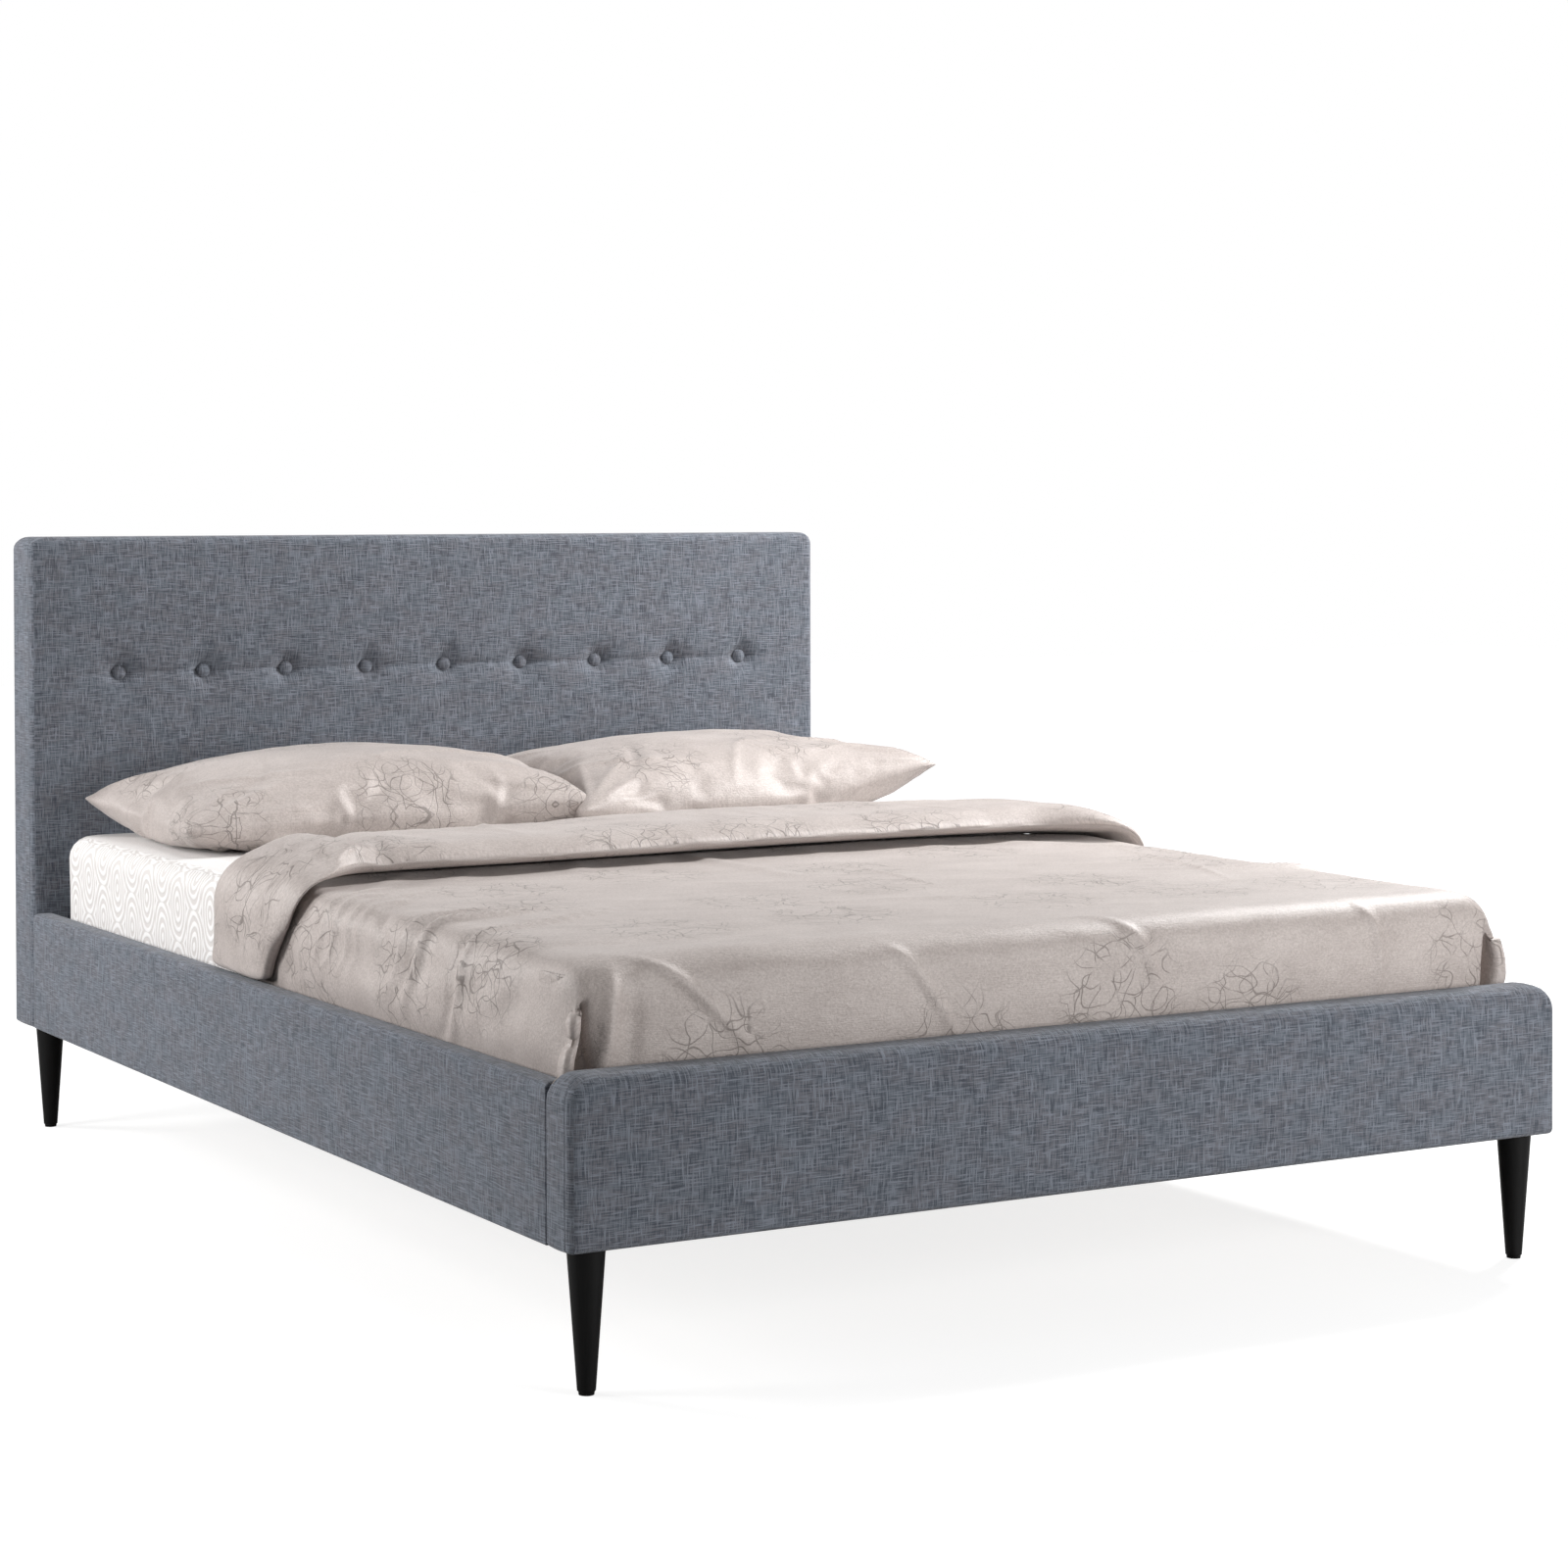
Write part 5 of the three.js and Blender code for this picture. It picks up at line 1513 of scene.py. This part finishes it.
    def add_tucked_corner(self, side, sign):
        """The cloth that is folded in behind a corner slit, round the corner of the mattress."""
        path = np.array([(0.700, -1.0235), (0.728, -1.0195), (0.746, -1.011), (0.7565, -0.998), (0.762, -0.982),
                         (0.7635, -0.955), (0.7635, -0.925)])  # plan of the fold, in metres
        rows = spaced(self.tuck, self.top - 26 * MM, 12 * MM)
        points = np.array([(sign * x, y, z) for z in rows for x, y in path])
        count = len(path)
        faces = []
        for j in range(len(rows) - 1):
            for i in range(count - 1):
                a = j * count + i
                quad = (a, a + 1, a + 1 + count, a + count)
                faces.append(quad if sign > 0 else quad[::-1])
        along = np.tile(np.cumsum(np.r_[0, np.linalg.norm(np.diff(path, axis=0), axis=1)]), len(rows))
        flat = np.column_stack([sign * (2.5 + along), np.repeat(rows, count)])
        piece = make_piece(f"duvet_tucked_corner_{side}", points, faces, [self.cloth], flat)
        thicken(piece, 4 * MM)
        subdivide(piece)
        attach(piece, "duvet")

    def creases(self):
        """Folds pressed into the cloth: curved ones over the left edge, slanting ones down the foot end."""
        return [
            ((-0.86, -0.49), (-0.735, -0.535), (-0.54, -0.47), -6.5, 10),
            ((-0.87, -0.52), (-0.74, -0.565), (-0.52, -0.495), 6.5, 11),
            ((-0.86, -0.46), (-0.735, -0.503), (-0.58, -0.445), 4.2, 9),
            ((-0.90, -0.63), (-0.75, -0.675), (-0.44, -0.53), -4.0, 10),
            ((-0.90, -0.66), (-0.75, -0.705), (-0.46, -0.565), 4.6, 11),
            ((-0.80, -0.45), (-0.73, -0.39), (-0.60, -0.24), -3.0, 12),
            ((-0.85, -0.20), (-0.76, -0.225), (-0.62, -0.15), 3.2, 8),
            ((-0.85, -0.24), (-0.76, -0.265), (-0.60, -0.18), 3.0, 8),
            ((-0.85, -0.285), (-0.76, -0.31), (-0.58, -0.215), 2.8, 8),
            ((-0.84, -0.33), (-0.75, -0.345), (-0.60, -0.26), 2.4, 8),
            ((-0.67, -0.99), (-0.585, -1.052), (-0.505, -1.14), 4.2, 8),
            ((-0.70, -1.02), (-0.715, -1.09), (-0.735, -1.17), 7.0, 13),
            ((-0.67, -1.04), (-0.68, -1.10), (-0.695, -1.17), -3.0, 14),
            ((-0.295, -1.0), (-0.23, -1.075), (-0.185, -1.16), 2.6, 8),
            ((0.04, -0.95), (0.115, -1.03), (0.145, -1.13), 2.6, 8),
            ((0.50, -0.98), (0.536, -1.07), (0.53, -1.15), 2.8, 8),
            ((0.14, -0.17), (0.118, -0.38), (0.09, -0.58), 1.8, 8),
            ((0.65, -0.24), (0.60, -0.49), (0.51, -0.73), 2.2, 8),
            ((-0.80, -0.86), (-0.66, -0.885), (-0.48, -0.87), -4.0, 42),
            ((0.58, -0.55), (0.70, -0.61), (0.82, -0.66), 5.0, 16),
            ((-0.20, -0.62), (0.0, -0.66), (0.25, -0.74), 1.6, 20),
        ]

    def add_cuff(self, settings):
        """The duvet's head end, folded back: a soft flat roll that runs across the top and down both sides."""
        around, step = 40, 14 * MM
        columns = spaced(-self.cuff_reach(), self.cuff_reach(), step)
        share = np.arange(around) / around
        stations = []
        for u in columns:
            hem, fold = float(self.hem(np.array(u))), float(self.fold(np.array(u)))
            side = np.clip((abs(u) - 0.70) / 0.22, 0, 1)
            thick = settings.cuff_thickness * (1 - 0.55 * side) * self.pinch(u)
            stations.append(self.cuff_section(share, hem, fold, thick, float(side)))
        v = np.concatenate([s[:, 0] for s in stations])
        n = np.concatenate([s[:, 1] for s in stations])
        u = np.repeat(columns, around)
        out, drop, angle = over_edge(np.abs(u), self.side, self.edge_radius)
        points = np.column_stack([np.sign(u) * (out + n * np.sin(angle)), v, self.top - drop + n * np.cos(angle)])
        faces = []
        for i in range(len(columns) - 1):
            for k in range(around):
                a, b = i * around + k, i * around + (k + 1) % around
                faces.append((a, b, b + around, a + around))
        last = (len(columns) - 1) * around
        faces.append(tuple(range(around))[::-1])
        faces.append(tuple(range(last, last + around)))
        flat = np.column_stack([u, 0.7 + v + np.where(np.tile(share, len(columns)) <= 0.5, 0.0, 0.8)])
        piece = make_piece("duvet_cuff", points, faces, [self.cloth], flat)
        upper = np.tile(self.upper_share(share), len(columns))
        start = simulate(piece, 14, pressure=1.6, growth=0.012, bending=0.6, cap=7 * MM)
        places = coordinates(piece.data)
        move_vertices(piece.data, start + (places - start) * upper[:, None])
        refine(piece)
        flat = flat_places(piece.data)
        spread = on_plane(flat[:, 0] * 2.4, flat[:, 1])
        lift = 2.4 * MM * ripples(spread, 0.17, 6.0) + 0.9 * MM * ripples(spread, 0.05, 7.0)
        lift += self.fold_strength * crease_lift(flat, self.cuff_creases())
        outer_face = np.clip((0.7 + 0.42 - flat[:, 1]) / 0.02, 0, 1)
        displace(piece, lift * outer_face)
        subdivide(piece)
        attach(piece, "duvet")

    def pinch(self, across):
        """The cuff bunches up where it turns down over the left edge of the mattress."""
        bunched = 0.16 * math.exp(-(((across + 0.655) / 0.03) ** 2))
        drawn = 0.30 * math.exp(-(((across + 0.735) / 0.03) ** 2)) + 0.2 * math.exp(-(((across + 0.60) / 0.025) ** 2))
        return 1 + bunched - drawn + 0.05 * math.sin(across * 9 + 1.0)

    def cuff_creases(self):
        """Folds across the cuff, most of them bunched together at its left shoulder."""
        line = 0.7
        creases = [
            ((-0.27, line + 0.31), (-0.31, line + 0.17), (-0.34, line - 0.02), 2.6, 9),
            ((0.20, line + 0.25), (0.16, line + 0.12), (0.15, line - 0.02), 1.8, 9),
            ((0.52, line + 0.20), (0.50, line + 0.10), (0.53, line - 0.03), 1.8, 9),
            ((-0.82, line + 0.10), (-0.80, line + 0.02), (-0.76, line - 0.10), 2.6, 10),
        ]
        for step in range(5):
            across = -0.58 - 0.034 * step
            end = (across - 0.012 * step, line - 0.07 - 0.012 * step)
            creases.append(((across + 0.07, line + 0.12), (across + 0.02, line + 0.02), end, 3.4, 9))
        return creases

    def cuff_reach(self):
        """How far across the flat cloth the cuff goes: down to just above the rails' tops."""
        return self.reach - (RAIL_TOP - self.tuck)

    def upper_share(self, share):
        """1 on the upper face of the cuff's section, 0 on its lower face."""
        return np.clip(np.sin(share * 2 * math.pi) * 3 + 0.3, 0, 1)

    def cuff_section(self, share, hem, fold, thick, side):
        """One section of the cuff as (along the bed, above the cloth's middle), from the fold round to the hem."""
        angle = share * 2 * math.pi
        middle, half = (hem + fold) / 2, (fold - hem) / 2
        squareness = 0.42
        along = np.sign(np.cos(angle)) * np.abs(np.cos(angle)) ** squareness
        above = np.sign(np.sin(angle)) * np.abs(np.sin(angle)) ** 0.75
        v = middle + half * along
        rise = thick * (0.96 + 0.04 * (v - hem) / (fold - hem))
        past_body = np.clip((v - hem - 0.09) / 0.05, 0, 1)
        past_body = past_body * past_body * (3 - 2 * past_body)
        floor = (1.2 * MM + self.half_layer) * (1 - past_body) - (self.half_layer + 3.5 * MM * (1 - side)) * past_body
        ceiling = floor * 0.3 + rise
        return np.column_stack([v, (floor + ceiling) / 2 + (ceiling - floor) / 2 * above])


class BED_OT_pillows(bpy.types.Operator):
    """Fill the two pillows and lay them at the headboard"""

    bl_idname = "bed.pillows"
    bl_label = "Lay pillows"

    def execute(self, context):
        scene = context.scene
        settings = scene.bed_bedding
        cloth = material("embroidered_satin_cotton", satin_cotton, settings)
        for side, sign in SIDES.items():
            self.add_pillow(side, sign, settings, cloth)
        return {"FINISHED"}

    def add_pillow(self, side, sign, settings, cloth):
        """Two layers joined at the rim, blown up by cloth simulation between mattress and headboard, then creased."""
        wide, deep = settings.pillow_width, settings.pillow_depth
        columns, rows = 62, 42
        u, v = np.meshgrid(np.linspace(-1, 1, columns), np.linspace(-1, 1, rows))
        u, v = u.ravel(), v.ravel()
        plump = 36 * MM * np.sqrt(np.clip((1 - u ** 2) * (1 - v ** 2), 0, 1))
        plump *= 1 + 0.25 * ripples(np.column_stack([u, v, np.full_like(u, sign)]), 0.35, 2.0)
        edge = (np.abs(u) > 1 - 1e-9) | (np.abs(v) > 1 - 1e-9)
        inner = np.flatnonzero(~edge)
        upper = np.column_stack([u * wide / 2, v * deep / 2, plump])
        lower = np.column_stack([u * wide / 2, v * deep / 2, -plump])[inner]
        under = np.arange(len(u))
        under[inner] = len(u) + np.arange(len(inner))
        faces = []
        for j in range(rows - 1):
            for i in range(columns - 1):
                a = j * columns + i
                quad = (a, a + 1, a + 1 + columns, a + columns)
                faces.append(quad)
                faces.append(tuple(int(under[c]) for c in quad[::-1]))
        box = PILLOWS[side]
        middle = centre(box)
        points = np.concatenate([upper, lower])
        cut_at = np.array([1.7 * sign, 2.2 + 0.11 * sign])  # apart from the duvet's cloth, so that motifs differ
        flat = points[:, :2] + cut_at
        lean, turn, roll, shift, rise = {
            "left": (4.0, 0.5, 0.0, 0.0, 8 * MM),
            "right": (6.0, 7.0, -3.0, -24 * MM, 46 * MM),
        }[side]
        pose = Matrix.Translation((middle.x + shift, middle.y, MATTRESS[1].z + 66 * MM))
        for degrees, axis in ((turn, "Z"), (lean, "X"), (roll, "Y")):
            pose = pose @ Matrix.Rotation(math.radians(degrees), 4, axis)
        points = np.array([pose @ Vector(p) for p in points])
        piece = make_piece(f"pillow_case_{side}", points, faces, [cloth], flat)
        low, high = MATTRESS
        support = box_collider("mattress_top", low, high)
        wall = box_collider("headboard_face", (low.x, HEADBOARD[0].y - 2 * MM, low.z),
                            (high.x, HEADBOARD[0].y + 60 * MM, high.z + 400 * MM))
        simulate(piece, 42, gravity=1.0, pressure=1.6, volume=0.028, bending=0.12, stiffness=12.0,
                 growth=0.015, colliders=[support, wall], mass=0.01)
        bpy.data.objects.remove(support)
        bpy.data.objects.remove(wall)
        refine(piece)
        local = flat_places(piece.data) - cut_at
        places = coordinates(piece.data)
        ear = np.linalg.norm(local - np.array([wide / 2, -deep / 2]), axis=1)
        places[:, 2] += rise * np.exp(-((ear / 0.17) ** 2))
        move_vertices(piece.data, places)
        soft = np.column_stack([local, np.full(len(local), sign)])
        lift = crease_lift(local, self.creases(wide, deep, sign)) + 1.5 * MM * ripples(soft, 0.11, 4.0)
        to_seam = np.minimum(wide / 2 - np.abs(local[:, 0]), deep / 2 - np.abs(local[:, 1]))
        displace(piece, lift * np.clip(to_seam / 0.02, 0, 1))
        subdivide(piece)
        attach(piece, f"pillow_{side}")
        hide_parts(f"pillow_{side}")

    def creases(self, wide, deep, sign):
        """Folds that run in from each corner and, more softly, across the crown."""
        made = []
        for x_sign in (-1, 1):
            for y_sign in (-1, 1):
                corner = np.array([x_sign * wide / 2, y_sign * deep / 2]) * 0.97
                inwards = math.atan2(-y_sign * 0.55, -x_sign)
                for index, spread in enumerate((-0.42, -0.12, 0.2, 0.5)):
                    length = 0.13 + 0.035 * ((index * 7 + x_sign * 3 + y_sign + sign) % 4)
                    angle = inwards + spread
                    start = corner + 0.03 * np.array([math.cos(angle), math.sin(angle)])
                    end = corner + length * np.array([math.cos(angle + 0.25 * spread), math.sin(angle)])
                    made.append((start, (start + end) / 2, end, 7.0 - 1.1 * index, 8))
        made += [
            ((0.36, -0.12), (0.22, -0.07), (0.02, -0.11), 6.0, 9),
            ((0.33, -0.04), (0.18, 0.02), (0.02, 0.02), -5.0, 13),
            ((0.35, -0.20), (0.24, -0.15), (0.12, -0.17), 5.5, 9),
            ((-0.33, -0.06), (-0.24, -0.12), (-0.10, -0.15), 5.5, 10),
            ((-0.30, -0.20), (-0.21, -0.13), (-0.16, 0.0), -6.0, 12),
            ((-0.05, -0.24), (0.0, -0.14), (0.10, -0.05), 3.8, 9),
        ]
        return made


class BED_PT_panel(bpy.types.Panel):
    """Lists the steps and the settings of the bed"""

    bl_idname = "BED_PT_panel"
    bl_label = "Upholstered bed"
    bl_space_type = "VIEW_3D"
    bl_region_type = "UI"
    bl_category = "Bed"

    def draw(self, context):
        for operator in OPERATORS:
            self.layout.operator(operator.bl_idname)
        for name, group in SETTINGS.items():
            box = self.layout.box()
            for key in group.__annotations__:
                box.prop(getattr(context.scene, name), key)


OPERATORS = (
    BED_OT_stage,
    BED_OT_headboard,
    BED_OT_buttons,
    BED_OT_footboard,
    BED_OT_side_rails,
    BED_OT_legs,
    BED_OT_slatted_base,
    BED_OT_mattress,
    BED_OT_duvet,
    BED_OT_pillows,
)


def register():
    for group in SETTINGS.values():
        bpy.utils.register_class(group)
    for name, group in SETTINGS.items():
        setattr(bpy.types.Scene, name, bpy.props.PointerProperty(type=group))
    for operator in OPERATORS:
        bpy.utils.register_class(operator)
    bpy.utils.register_class(BED_PT_panel)


def unregister():
    bpy.utils.unregister_class(BED_PT_panel)
    for operator in reversed(OPERATORS):
        bpy.utils.unregister_class(operator)
    for name in SETTINGS:
        delattr(bpy.types.Scene, name)
    for group in SETTINGS.values():
        bpy.utils.unregister_class(group)


def main():
    register()
    for operator in OPERATORS:
        group, step = operator.bl_idname.split(".")
        getattr(getattr(bpy.ops, group), step)()


if __name__ == "__main__":
    main()
